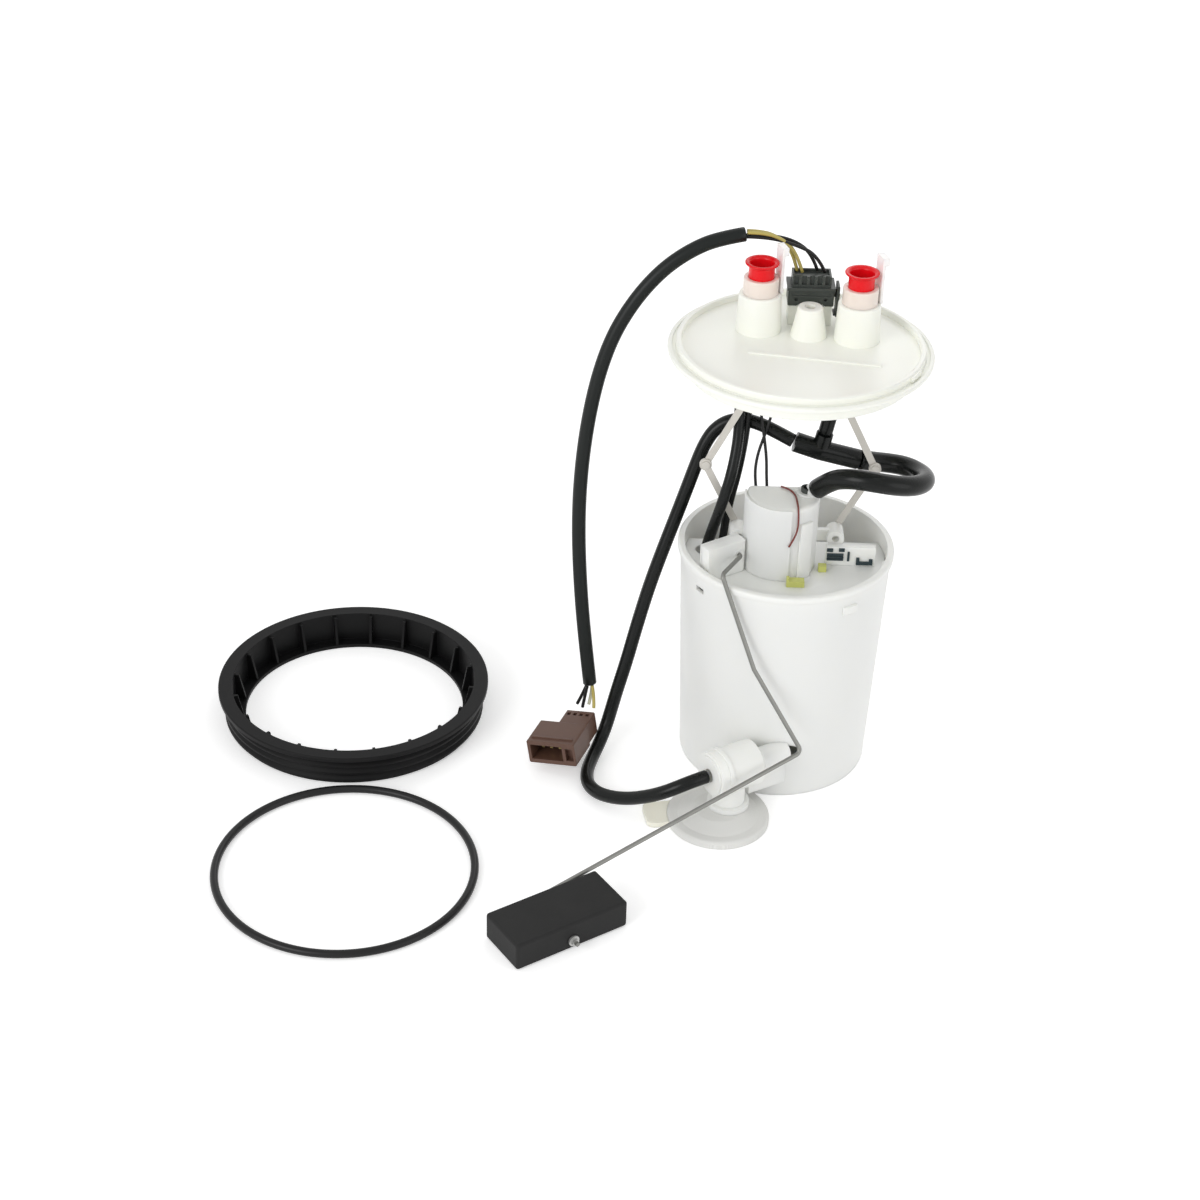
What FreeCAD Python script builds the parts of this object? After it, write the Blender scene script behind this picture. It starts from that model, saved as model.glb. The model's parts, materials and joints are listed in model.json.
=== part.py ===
import FreeCAD, Part
import math
import os

# In-tank fuel pump module with its lock ring and seal ring, in millimetres.
# +Z is up along the module; the float is towards -Y and the harness plug towards -X.

V = FreeCAD.Vector
UP = V(0, 0, 1)


def polar(radius, degrees, z):
    """Point at a reach and a bearing about the module axis, at height z."""
    angle = math.radians(degrees)
    return V(radius * math.cos(angle), radius * math.sin(angle), z)


# Fits between pieces
RUN_FIT = 0.06
SEAT_FIT = 0.05

# Reservoir cup: a tapered pot that stands on the tank floor
CUP_RIM_R = 55.3
CUP_BASE_R = 50.5
CUP_H = 128.0
CUP_WALL = 2.2
CUP_FLOOR = 2.6
CUP_TAPER = (CUP_RIM_R - CUP_BASE_R) / CUP_H
LIP_W = 1.3
LIP_H = 3.2
CUP_RIBS = 6
CUP_RIB_T = 2.0
CUP_RIB_DEPTH = 5.0
CUP_RIB_ANGLE = 15
SLOT_W = 6.4
SLOT_Z = (CUP_H - 13.4, CUP_H - 10.4)
SLOT_ANGLE = 214
CATCH_W = 8.4
CATCH_Z = (CUP_H - 14.0, CUP_H - 9.6)
CATCH_ANGLES = (304, 124)

# Deck: the plate inside the cup that carries the holder and the sender
DECK_Z = CUP_H - 11.0
DECK_T = 2.4
DECK_TOP = DECK_Z + DECK_T
DECK_GAP = 0.15
DECK_BACK_Y = 15.0
DECK_RIM_W = 1.6
DECK_RIM_H = 2.2
DECK_RIM_BACK_Y = -6.0
DECK_BARS_X = (-36.0, 30.0)
RETURN_HOLE_R = 5.4

# Flange: the round cover that closes the tank opening
FLANGE_RING_R = 62.0
FLANGE_R = FLANGE_RING_R + 4.5
FLANGE_Z = DECK_TOP + 119.2
FLANGE_LIP_T = 2.6
FLANGE_RING_W = 2.4
FLANGE_RING_H = 3.2
PLATE_TOP = FLANGE_Z + FLANGE_LIP_T
SPIGOT_R = 58.0
SPIGOT_WALL = 2.4
SPIGOT_H = 8.0
RIB_L = 66.0
RIB_AT = (6.0, -14.0)
RIB_ANGLE = -10
STOP_REACH = (-63.2, -59.0)
STOP_W = 10.0
STOP_ANGLE = 150
VENT_BOSS_C = (4.5, 13.5)
VENT_BOSS_R = (9.2, 6.2)
VENT_BOSS_TOP = PLATE_TOP + 15.8
VENT_BORE_R = 2.7
VENT_BORE_DEPTH = 9.0
NIPPLE_LOW = FLANGE_Z - 3.6
NIPPLE_R = 3.4

# Quick connect ports on the flange, their collars, latch fingers and shipping caps
PORT_L = (-20.5, 19.5)
PORT_R = (28.5, 10.5)
PORT_BASE_R = 11.0
PORT_BASE_H = 20.0
PORT_TOP = PLATE_TOP + PORT_BASE_H
PORT_BORE_R = 6.6
PORT_TUBE_R = 3.0
PORT_FLOOR = PLATE_TOP + 4.0
COLLAR_R = 8.9
COLLAR_H = 8.6
FINGER_T = 1.5
FINGER_W = 8.0
FINGER_HEAD = 3.4
FINGER_HEAD_H = 4.0
FINGER_TOP = PORT_TOP + 24.0
FINGER_ANGLE = 18
CAP_R = PORT_BORE_R - 0.08
CAP_WALL = 1.2
CAP_Z0 = PORT_TOP - 3.0
CAP_LIP_Z = PORT_TOP + 14.6
CAP_LIP_R = 8.6

# Wiring socket on the flange and the grey plug in it
SOCKET_X = 5.5
SOCKET_Y = 31.0
SOCKET_Z1 = PLATE_TOP + 10.6
SOCKET_PINS = 4
PIN_PITCH = 4.0
PLUG_LOW = SOCKET_Z1 + 0.2
PLUG_LEDGE = PLUG_LOW + 10.0
PLUG_TOP = PLUG_LEDGE + 5.6
PLUG_HALF_W = 11.6
PLUG_HALF_D = 6.4
COMB_HALF_W = 9.8
COMB_TEETH = 5
LATCH_PIVOT_Z = PLUG_LEDGE - 5.4
LATCH_TOP = PLUG_LEDGE + 0.3
LATCH_LOW = LATCH_PIVOT_Z - 10.8
LATCH_X = 13.65
LATCH_T = 1.5
LATCH_PIN_R = 0.5
LUG_R = 1.3
LUG_DY = (1.1, 1.9)

# Holder tower that carries the pump
TOWER = (-3.7, -6.0)
TOWER_R = 18.8
TOWER_WALL = 1.2
TOWER_TOP = DECK_TOP + 41.6
TOWER_ROUND = 2.0
STEP_Y = 0.0
STEP_Z = TOWER_TOP - 10.0
TOWER_Z0 = 26.0
WINDOW_W = 10.0
WINDOW_Z = (38.0, 56.0)
COVER_T = 1.0
COVER_ANGLES = (172, 281)
COLUMN_T = 1.6
COLUMN_ANGLES = (296, 318)

# Pump: housing, covers, motor and impeller
CAN_R = 17.5
CAN_WALL = 1.5
CAN_Z0 = DECK_TOP - 57.4
CAN_L = 68.0
CAN_Z1 = CAN_Z0 + CAN_L
CAN_GROOVE = 1.5
SHAFT_R = 2.0
INLET_Z = CAN_Z0 - 16.0
ROTOR_Z = CAN_Z0 - 6.0
OUTLET_Z = CAN_Z1 + 14.0
INLET_NECK = (TOWER[0] + 8.6, TOWER[1])
INLET_NECK_R = 6.0
INLET_NECK_L = 8.0
FLOW_R = 2.2
FLOW_REACH = 11.6
MAGNET_R = CAN_R - CAN_WALL - SEAT_FIT
MAGNET_T = 2.6
AIR_GAP = 0.7
ARMATURE_R = MAGNET_R - MAGNET_T - AIR_GAP
ARMATURE_Z0 = CAN_Z0 + 10.0
ARMATURE_Z1 = CAN_Z0 + 46.0
WINDING_H = 6.0
COMMUTATOR_R = 8.0
IMPELLER_R = 14.6
IMPELLER_T = 3.4
BLADES = 24
SLOTS = 8
OUTLET_R = 3.4
SPOUT_IN = (8.5, -6.0)
SPOUT_T = 1.2
SPOUT_R = 4.6
SPOUT_GAP = 0.6
VALVE_BORE_R = 2.3
VALVE_H = 2.2
BRUSH_W = 4.0
BRUSH_Z0 = CAN_Z1 - 0.5
BRUSH_Z1 = CAN_Z1 + 4.5
STRAINER_R = 15.5
STRAINER_H = 9.0

# Knee straps that guide the flange above the cup; each turns in the plane y = ARM_Y
ARM_Y = 8.0
ARM_W = 3.6
ARM_T = 1.8
ARM_GAP = 0.1
ARM_A = (25.4, DECK_TOP + 12.6)
ARM_K = (43.8, DECK_TOP + 49.1)
ARM_B = (12.0, FLANGE_Z - 6.6)
ARM_FRONT = ARM_Y - ARM_T / 2
ARM_BACK = ARM_Y + ARM_T / 2
RIVET_R = 1.3
EYE_R = 3.2
TOP_EYE_R = 4.0
OPEN_PIVOT_R = 2.6
BOSS_R = 4.6
BOSS_Y0 = -3.0
BOSS_Y1 = ARM_FRONT - 0.15
EAR_W = 9.0
EAR_T = 2.0
EAR_Y0 = ARM_BACK + 0.2

# Level sender: card box on the deck, float arm and float
S_AXIS = V(0.559, -0.829, 0).normalize()
T_AXIS = V(0.829, 0.559, 0).normalize()
PIVOT = polar(CUP_RIM_R - 23.67, -140.77, DECK_TOP + 11.2)
SENDER_TOP = DECK_TOP + 19.0
SENDER_A0, SENDER_A1 = -19.0, 3.8
CAVITY_A0, CAVITY_A1 = -11.8, 2.4
CAVITY_B0, CAVITY_B1 = -8.4, -3.4
CAVITY_Z0, CAVITY_Z1 = DECK_TOP + 3.2, SENDER_TOP - 1.2
SENDER_BACK = 1.4
CARD_T = 0.9
WIPER_L = 9.0
WIPER_ANGLE = 215
WIRE_R = 1.15
WIRE_BEND = 3.0
ARM_PIN_END = -6.6
BEND = polar(CUP_RIM_R + 3.48, -126.91, CUP_H + 7.5)
MIDDLE_Z = 85.8
MIDDLE = polar(CUP_BASE_R + CUP_TAPER * MIDDLE_Z + 6.83, -106.01, MIDDLE_Z)
CORNER_Z = 40.4
CORNER = polar(CUP_BASE_R + CUP_TAPER * CORNER_Z + 15.0, -81.07, CORNER_Z)
FLOAT_L = 64.0
FLOAT_D = 29.6
FLOAT_H = 15.4
FLOAT_ROUND = 1.6
FLOAT_C = polar(CUP_BASE_R + 150.81, -124.35, FLOAT_H / 2 + 0.2)
SWIVEL_Z = 5.6
NUT_GAP = 0.3

# Contacts and terminal box on the deck
CONTACT_H = 3.4
TERMINAL_BOX = (20.4, 46.4, -8.6, -4.6)
TERMINAL_H = 11.0
STRIP_OUT = 0.9
STRIPS = (
    (0.4, 3.6, 8.6, 10.4), (6.6, 9.6, 8.8, 10.6), (0.6, 9.2, 3.4, 4.4), (0.6, 9.2, 4.9, 5.9),
    (0.6, 9.2, 6.4, 7.4), (11.2, 12.4, 3.2, 8.6), (16.0, 24.6, 1.0, 2.9), (16.0, 17.6, 2.9, 5.2),
    (22.6, 24.6, 2.9, 4.4))

# Jet pump and foot filter beside the cup
FOOT_R = 27.0
FOOT = polar(CUP_BASE_R + FOOT_R + 0.63, -113.78, 0)
FOOT_C = (FOOT.x, FOOT.y)
JET_L = polar(CUP_BASE_R + FOOT_R + 6.4, -116.63, 30.0)
JET_DIR = V(0.859, 0.512, 0).normalize()
JET_R = 12.2
JET_LEN = 27.0
JET_BORE_R = 5.0
JET_THROAT_R = 3.4
JET_NECK_R = 6.0
JET_PORT_R = 4.0
JET_COLLAR_AT = 6.0
STEM_AT = 13.0
STEM_R = 8.6
NOZZLE_L = 9.0
FOOT_RIM_H = 4.2
FOOT_TOP = 7.4
FOOT_HUB_H = 3.0
TAB_L = 17.0
TAB_W = 18.0

# Tee behind the tower and the riser above it
TEE_C = V(15.5, 16.0, 174.3)
TEE_R = 5.3
TEE_END_GAP = 0.8
RISER_TOP = V(26.5, 15.5, NIPPLE_LOW - 1.0)
RISER_START = 10.0

# Brown plug at the end of the harness, drawn flat and then turned into its place
BROWN_AT = V(-134.2, -33.8, 19.6)
BROWN_YAW = -19.9
BROWN_ROLL = -9.5
BROWN_W = 27.5
BROWN_H = 14.0
BROWN_HOOD = 20.0
BROWN_LEN = 33.0
BROWN_DEPTH = 14.0
BROWN_NECK_X = 10.5

# Lock ring and seal ring beside the module
LOCK_C = (-232.4, 20.3)
LOCK_R = 74.7
LOCK_H = 19.0
LOCK_WALL_R0 = 67.0
LOCK_WALL_R1 = 70.2
LOCK_LIP_T = 2.4
LOCK_SHELF_R = 60.4
LOCK_SHELF_T = 2.0
LOCK_RIBS = 20
LOCK_RIB_T = 1.5
LOCK_RIB_REACH = 2.6
LOCK_RIB_ANGLE = -2.7
THREADS = 3
THREAD_PITCH = 4.3
THREAD_H = 1.6
SEAL_C = (-222.5, -123.7)
SEAL_MID_R = 65.9
SEAL_CORD_R = 2.1

# Hose and wire diameters
SUCTION_D = 7.2
LOOP_D = 10.4
RISER_D = 7.6
TUBE_D = 5.8
VENT_D = 4.4
LEAD_D = 1.6
SLEEVE_D = 7.4
WIRE_D = 1.8
RED_WIRE_D = 1.0

# Routes of the hoses and wires, from one end to the other
CORD_ARC_SHARE = 0.45
SUCTION_ROUTE = [
    (1.5, 16.9, 178.6), (-11.4, 20.8, 184.2), (-23.0, 23.7, 187.1), (-32.2, 24.8, 185.6),
    (-39.4, 24.4, 180.4), (-44.2, 23.2, 172.2), (-47.8, 21.6, 162.2), (-52.2, 19.0, 148.6),
    (-57.6, 16.0, 132.2), (-63.6, 12.0, 115.0), (-70.4, 8.0, 93.7), (-76.4, 4.0, 70.6),
    (-81.2, 0.0, 50.4), (-85.8, -3.0, 33.6), (-88.8, -5.0, 21.4), (-91.6, -9.0, 11.8),
    (-95.2, -17.0, 6.0), (-98.9, -27.6, 3.8), (-101.4, -39.4, 3.7), (-100.6, -50.2, 3.8),
    (-95.4, -59.4, 5.0), (-87.4, -66.2, 7.4), (-78.6, -71.6, 11.0), (-69.8, -76.6, 16.4),
    (-61.2, -80.4, 22.2), (-53.0, -81.5, 27.3), (-45.7, -79.8, 30.0), (-38.8, -75.7, 30.0)]
LOOP_ROUTE = [
    (36.5, 19.0, 167.6), (44.0, 21.4, 165.4), (52.5, 22.0, 164.4), (60.6, 18.4, 165.0),
    (66.4, 10.9, 166.0), (69.0, 1.0, 168.2), (67.6, -9.4, 171.0), (62.0, -18.2, 173.8),
    (54.2, -24.0, 176.6), (45.2, -26.4, 179.0), (36.0, -25.8, 180.2), (27.0, -21.8, 179.0),
    (19.2, -15.2, 174.2), (13.0, -8.0, 164.6)]
RETURN_ROUTE = [
    (-23.5, 16.5, 234.0), (-27.0, 14.8, 217.0), (-27.6, 14.8, 201.0), (-27.4, 10.0, 183.5),
    (-30.4, 2.6, 166.0), (-35.0, -0.6, 149.0), (-38.8, 1.0, 134.0), (-41.6, 4.0, 120.0)]
VENT_ROUTE = [
    (-17.0, 18.0, 234.0), (-20.8, 18.4, 217.0), (-22.8, 17.6, 200.0), (-23.8, 16.4, 180.0),
    (-26.4, 15.0, 160.5), (-29.8, 15.4, 143.0), (-31.8, 17.0, 126.0), (-32.6, 18.5, 111.0)]
LEAD_ROUTES = [
    [(-2.0, 24.0, 236.0), (-5.4, 22.8, 222.0), (-8.2, 20.8, 208.0), (-10.2, 18.4, 195.0),
     (-13.6, 14.6, 184.0), (-17.4, 11.2, 172.5), (-18.2, 8.0, 161.5), (-16.4, 5.4, 151.9)],
    [(-8.0, 24.0, 236.0), (-13.6, 21.8, 222.0), (-16.8, 19.2, 208.0), (-16.4, 16.4, 194.5),
     (-14.2, 12.8, 183.0), (-12.4, 9.8, 172.0), (-12.0, 7.0, 161.5), (-11.0, 4.8, 151.9)]]
HARNESS_ROUTE = [
    (-29.0, 30.0, 287.8), (-43.0, 28.2, 285.6), (-55.6, 26.0, 280.3), (-67.2, 24.0, 272.4),
    (-77.0, 22.0, 262.5), (-85.8, 20.0, 250.4), (-93.8, 18.0, 235.4), (-99.8, 16.0, 217.2),
    (-104.2, 14.0, 196.2), (-107.3, 11.6, 172.6), (-108.9, 9.0, 147.5), (-108.8, 6.0, 121.8),
    (-107.0, 3.0, 92.0), (-104.2, -0.2, 63.5), (-100.9, -3.6, 37.0)]
TOP_WIRE_ROUTES = [
    [(-28.3, 31.4, 289.0), (-19.4, 31.9, 288.8), (-10.8, 32.4, 284.6), (-4.4, 32.6, 277.0),
     (-1.9, 32.4, 267.6)],
    [(-28.3, 28.8, 289.1), (-19.6, 29.2, 289.1), (-10.2, 30.0, 285.6), (-2.8, 30.6, 278.0),
     (0.7, 30.8, 267.6)],
    [(-28.6, 31.4, 286.7), (-17.5, 32.4, 286.8), (-4.5, 33.2, 283.8), (4.9, 33.6, 276.9),
     (8.4, 33.6, 267.6)],
    [(-28.6, 28.9, 286.8), (-17.5, 29.6, 286.6), (-3.6, 30.4, 282.6), (7.6, 31.0, 277.0),
     (12.2, 31.2, 267.6)]]
LOW_WIRE_ROUTES = [
    [(-102.3, -2.3, 36.0), (-104.2, -1.6, 29.5), (-107.6, -2.6, 22.4)],
    [(-102.3, -5.1, 36.0), (-103.4, -5.2, 29.8), (-104.6, -6.6, 23.0)],
    [(-99.6, -2.3, 36.4), (-99.7, -1.6, 30.2), (-101.2, -4.6, 23.6)],
    [(-99.6, -5.1, 36.4), (-98.4, -5.4, 30.4), (-98.4, -8.6, 24.0)]]
RED_ROUTE = [
    (-4.8, -0.9, 161.6), (-0.6, -3.2, 161.6), (2.3, -9.6, 161.6), (2.7, -18.0, 161.8),
    (2.9, -24.9, 161.8), (3.5, -24.5, 152.0), (2.2, -25.4, 146.0), (-0.8, -26.4, 140.5)]

# Spots under the flange where a tube is pushed on a nipple
NIPPLES = (RETURN_ROUTE[0][:2], VENT_ROUTE[0][:2], (RISER_TOP.x, RISER_TOP.y))


def box(x0, x1, y0, y1, z0, z1):
    return Part.makeBox(x1 - x0, y1 - y0, z1 - z0, V(x0, y0, z0))


def cyl(r, z0, z1, c=(0, 0)):
    return Part.makeCylinder(r, z1 - z0, V(c[0], c[1], z0))


def cone(r0, r1, z0, z1, c=(0, 0)):
    return Part.makeCone(r0, r1, z1 - z0, V(c[0], c[1], z0))


def ring(ro, ri, z0, z1, c=(0, 0)):
    return cyl(ro, z0, z1, c).cut(cyl(ri, z0 - 1, z1 + 1, c))


def rod(a, b, r):
    return Part.makeCylinder(r, (b - a).Length, a, b - a)


def tube_between(a, b, ro, ri):
    step = (b - a).normalize()
    return rod(a, b, ro).cut(rod(a - step, b + step, ri))


def moved(shape, x, y, z):
    copy = shape.copy()
    copy.translate(V(x, y, z))
    return copy


def turned(shape, angle, c=(0, 0)):
    copy = shape.copy()
    copy.rotate(V(c[0], c[1], 0), UP, angle)
    return copy


def sector(radius, start, end, z0, z1, c=(0, 0)):
    wedge = Part.makeCylinder(radius, z1 - z0, V(c[0], c[1], z0), UP, end - start)
    return turned(wedge, start, c)


def rounded(shape, radius, pick):
    edges = [e for e in shape.Edges if pick(e)]
    return shape.makeFillet(radius, edges)


def is_vertical(edge):
    box_ = edge.BoundBox
    return box_.ZLength > 1e-3 and box_.XLength < 1e-3 and box_.YLength < 1e-3


def at_height(z):
    def pick(edge):
        box_ = edge.BoundBox
        return abs(box_.ZMin - z) < 1e-3 and abs(box_.ZMax - z) < 1e-3
    return pick


def route_wire(points):
    """Straight runs joined by tangent arcs, each as large as its two runs allow."""
    p = [V(*q) for q in points]
    edges, radii = [], []
    start = p[0]
    for a, b, c in zip(p, p[1:], p[2:]):
        u, w = (b - a), (c - b)
        half = u.getAngle(w) / 2
        reach = CORD_ARC_SHARE * min(u.Length, w.Length)
        radius = reach / math.tan(half)
        u.normalize()
        w.normalize()
        t0, t1 = b - u * reach, b + w * reach
        centre_line = (w - u).normalize()
        middle = b + centre_line * (radius / math.cos(half) - radius)
        edges.append(Part.LineSegment(start, t0).toShape())
        edges.append(Part.Arc(t0, middle, t1).toShape())
        radii.append(radius)
        start = t1
    edges.append(Part.LineSegment(start, p[-1]).toShape())
    return Part.Wire(edges), radii


def cord(label, points, diameter):
    path, radii = route_wire(points)
    first = V(*points[0])
    along = V(*points[1]) - first
    circle = Part.Wire(Part.Circle(first, along, diameter / 2).toShape())
    solid = path.makePipeShell([circle], True, False)
    expected = math.pi * diameter ** 2 / 4 * path.Length
    print("%-16s length %6.1f  least radius %5.1f  volume ratio %.4f"
          % (label, path.Length, min(radii), solid.Volume / expected))
    return solid


def cup_outer(z):
    return CUP_BASE_R + CUP_TAPER * z


def cup_inner(z):
    return cup_outer(z) - CUP_WALL


def sender_place(a, b, z):
    """Point at reach a along the card, reach b along the pivot axis, and height z."""
    return PIVOT + T_AXIS * a + S_AXIS * b + V(0, 0, z - PIVOT.z)


def sender_box(a0, a1, b0, b1, z0, z1):
    solid = Part.makeBox(b1 - b0, a1 - a0, z1 - z0)
    solid.rotate(V(0, 0, 0), UP, math.degrees(math.atan2(S_AXIS.y, S_AXIS.x)))
    solid.translate(sender_place(a0, b0, z0))
    return solid


# Reservoir: cup, deck and what stands on the deck

def jet_wall_reach():
    """Distance along the jet axis at which it meets the cup wall."""
    wall = cup_outer(JET_L.z)
    along = JET_L.x * JET_DIR.x + JET_L.y * JET_DIR.y
    square = JET_L.x ** 2 + JET_L.y ** 2
    return -along - math.sqrt(along ** 2 - square + wall ** 2)


def reservoir_cup():
    shell = cone(CUP_BASE_R, CUP_RIM_R, 0, CUP_H)
    shell = shell.cut(cone(cup_inner(CUP_FLOOR), cup_inner(CUP_H + 1), CUP_FLOOR, CUP_H + 1))
    lip = ring(CUP_RIM_R + LIP_W, cup_inner(CUP_H) + CUP_WALL / 3, CUP_H - LIP_H, CUP_H)
    lip = rounded(lip, 1.2, lambda e: at_height(CUP_H)(e) and e.Curve.Radius > CUP_RIM_R)
    shell = shell.fuse(lip)
    inside = Part.makeCone(cup_inner(0) + CUP_WALL / 3, cup_inner(CUP_H) + CUP_WALL / 3, CUP_H)
    rib = box(cup_inner(0) - CUP_RIB_DEPTH, CUP_RIM_R, -CUP_RIB_T / 2, CUP_RIB_T / 2,
              CUP_FLOOR - 0.5, DECK_Z).common(inside)
    for k in range(CUP_RIBS):
        shell = shell.fuse(turned(rib, 360 / CUP_RIBS * k + CUP_RIB_ANGLE))
    slot = box(cup_inner(SLOT_Z[0]) - 2, CUP_RIM_R + 2, -SLOT_W / 2, SLOT_W / 2, SLOT_Z[0], SLOT_Z[1])
    shell = shell.cut(turned(slot, SLOT_ANGLE))
    catch_r = cup_outer(sum(CATCH_Z) / 2)
    catch = box(catch_r - 0.6, catch_r + 1.6, -CATCH_W / 2, CATCH_W / 2, CATCH_Z[0], CATCH_Z[1])
    for angle in CATCH_ANGLES:
        shell = shell.fuse(turned(catch, angle))
    start = JET_L + JET_DIR * (jet_wall_reach() - 6)
    shell = shell.cut(rod(start, start + JET_DIR * 16, JET_PORT_R))
    foot_ring = ring(CUP_BASE_R - 6, CUP_BASE_R - 8, CUP_FLOOR - 0.2, CUP_FLOOR + 3)
    return shell.fuse(foot_ring).removeSplitter()


def deck_radius():
    return cup_inner(DECK_Z) - DECK_GAP


def reservoir_deck():
    plate = cyl(deck_radius(), DECK_Z, DECK_TOP)
    back = box(-60, 60, DECK_BACK_Y, 60, DECK_Z - 1, DECK_TOP + 1)
    plate = plate.cut(back)
    plate = plate.cut(cyl(TOWER_R + SEAT_FIT, DECK_Z - 1, DECK_TOP + 1, TOWER))
    end = RETURN_ROUTE[-1]
    plate = plate.cut(cyl(RETURN_HOLE_R, DECK_Z - 1, DECK_TOP + 1, end[:2]))
    rim = ring(deck_radius(), deck_radius() - DECK_RIM_W, DECK_TOP, DECK_TOP + DECK_RIM_H)
    rim = rim.cut(box(-60, 60, DECK_RIM_BACK_Y, 60, DECK_Z, DECK_Z + 10))
    plate = plate.fuse(rim)
    for x in DECK_BARS_X:
        bar = box(x, x + 1.6, -30, -8, DECK_Z - 7, DECK_Z)
        plate = plate.fuse(bar)
    return plate.removeSplitter()


# Holder tower, its front cover, and the bosses of the arms

def tower_boss(side):
    x, z = side * ARM_A[0], ARM_A[1]
    length = BOSS_Y1 - BOSS_Y0
    boss = Part.makeCylinder(BOSS_R, length, V(x, BOSS_Y0, z), V(0, 1, 0))
    inner = TOWER[0] + side * (TOWER_R - 2.0)
    web = box(min(inner, x), max(inner, x), 0.6, 3.4, z - 3.2, z + 3.2)
    return boss.fuse(web)


def behind_step(y, z):
    """Space behind and above the step at the back of the tower top."""
    return box(-60, 60, y, 60, z, TOWER_TOP + 20)


def pump_holder():
    sleeve = cyl(TOWER_R, TOWER_Z0, TOWER_TOP, TOWER)
    sleeve = rounded(sleeve, TOWER_ROUND, at_height(TOWER_TOP))
    sleeve = sleeve.cut(behind_step(STEP_Y, STEP_Z))
    bore = cyl(TOWER_R - TOWER_WALL, TOWER_Z0 - 1, TOWER_TOP - 4, TOWER)
    bore = bore.cut(behind_step(STEP_Y - TOWER_WALL, STEP_Z - TOWER_WALL))
    sleeve = sleeve.fuse(tower_boss(1)).fuse(tower_boss(-1)).cut(bore)
    sleeve = sleeve.cut(cyl(OUTLET_R + SEAT_FIT, TOWER_TOP - 8, TOWER_TOP + 1, SPOUT_IN))
    pin = Part.makeCylinder(RIVET_R + 0.6, 6, V(0, BOSS_Y0 - 1, ARM_A[1]), V(0, 1, 0))
    for side in (1, -1):
        sleeve = sleeve.cut(moved(pin, side * ARM_A[0], 0, 0)).fuse(arm_peg(side))
    sleeve = sleeve.fuse(holder_column())
    for k in range(4):
        window = box(TOWER_R - 4, TOWER_R + 2, -WINDOW_W / 2, WINDOW_W / 2, WINDOW_Z[0], WINDOW_Z[1])
        window.translate(V(TOWER[0], TOWER[1], 0))
        sleeve = sleeve.cut(turned(window, 45 + 90 * k, TOWER))
    return sleeve.removeSplitter()


def holder_cover():
    z0 = DECK_TOP
    outer = sector(TOWER_R + COVER_T, COVER_ANGLES[0], COVER_ANGLES[1], z0, TOWER_TOP, TOWER)
    cover = outer.cut(cyl(TOWER_R + 0.03, z0 - 1, TOWER_TOP + 1, TOWER))
    web = box(-ARM_A[0] - BOSS_R - 0.2, TOWER[0] - 10, BOSS_Y0 - 0.2, ARM_Y + 4,
              ARM_A[1] - BOSS_R - 0.2, ARM_A[1] + BOSS_R + 0.2)
    return cover.cut(web)


def holder_column():
    z0 = DECK_TOP
    column = sector(TOWER_R + COLUMN_T, COLUMN_ANGLES[0], COLUMN_ANGLES[1], z0, TOWER_TOP - 9.0, TOWER)
    return column.cut(cyl(TOWER_R - 0.5, z0 - 1, TOWER_TOP, TOWER))


def arm_peg(side):
    """Moulded peg behind the boss that the lower strap turns on."""
    p = V(side * ARM_A[0], BOSS_Y1 - 0.5, ARM_A[1])
    peg = Part.makeCylinder(RIVET_R, ARM_Y + 1.0 - p.y, p, V(0, 1, 0))
    head = Part.makeCylinder(2.4, 0.8, V(p.x, ARM_Y + 0.1, p.z), V(0, 1, 0))
    return peg.fuse(head)


# Pump inside the holder

def pump_housing():
    tube = ring(CAN_R, CAN_R - CAN_WALL, CAN_Z0, CAN_Z1, TOWER)
    for z0 in (CAN_Z0 + 4, CAN_Z1 - 4 - CAN_GROOVE):
        tube = tube.cut(ring(CAN_R + 1, CAN_R - 0.4, z0, z0 + CAN_GROOVE, TOWER))
    return tube


def inlet_cover():
    body = cyl(CAN_R, INLET_Z, CAN_Z0, TOWER)
    body = body.fuse(cyl(CAN_R - CAN_WALL - 0.02, CAN_Z0, CAN_Z0 + 2.5, TOWER))
    chamber = cyl(IMPELLER_R + 0.6, ROTOR_Z - 0.3, ROTOR_Z + IMPELLER_T + 0.3, TOWER)
    body = body.cut(chamber)
    body = body.cut(cyl(SHAFT_R + RUN_FIT, INLET_Z + 5, CAN_Z0 + 3, TOWER))
    for k, (z0, z1) in enumerate(((INLET_Z - 1, ROTOR_Z), (ROTOR_Z + 1, CAN_Z0 + 4))):
        place = (TOWER[0] + FLOW_REACH * (1 - 2 * k), TOWER[1])
        body = body.cut(cyl(FLOW_R, z0, z1, place))
    neck = ring(INLET_NECK_R, INLET_NECK_R - 1.6, INLET_Z - INLET_NECK_L, INLET_Z, INLET_NECK)
    return body.fuse(neck).removeSplitter()


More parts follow.
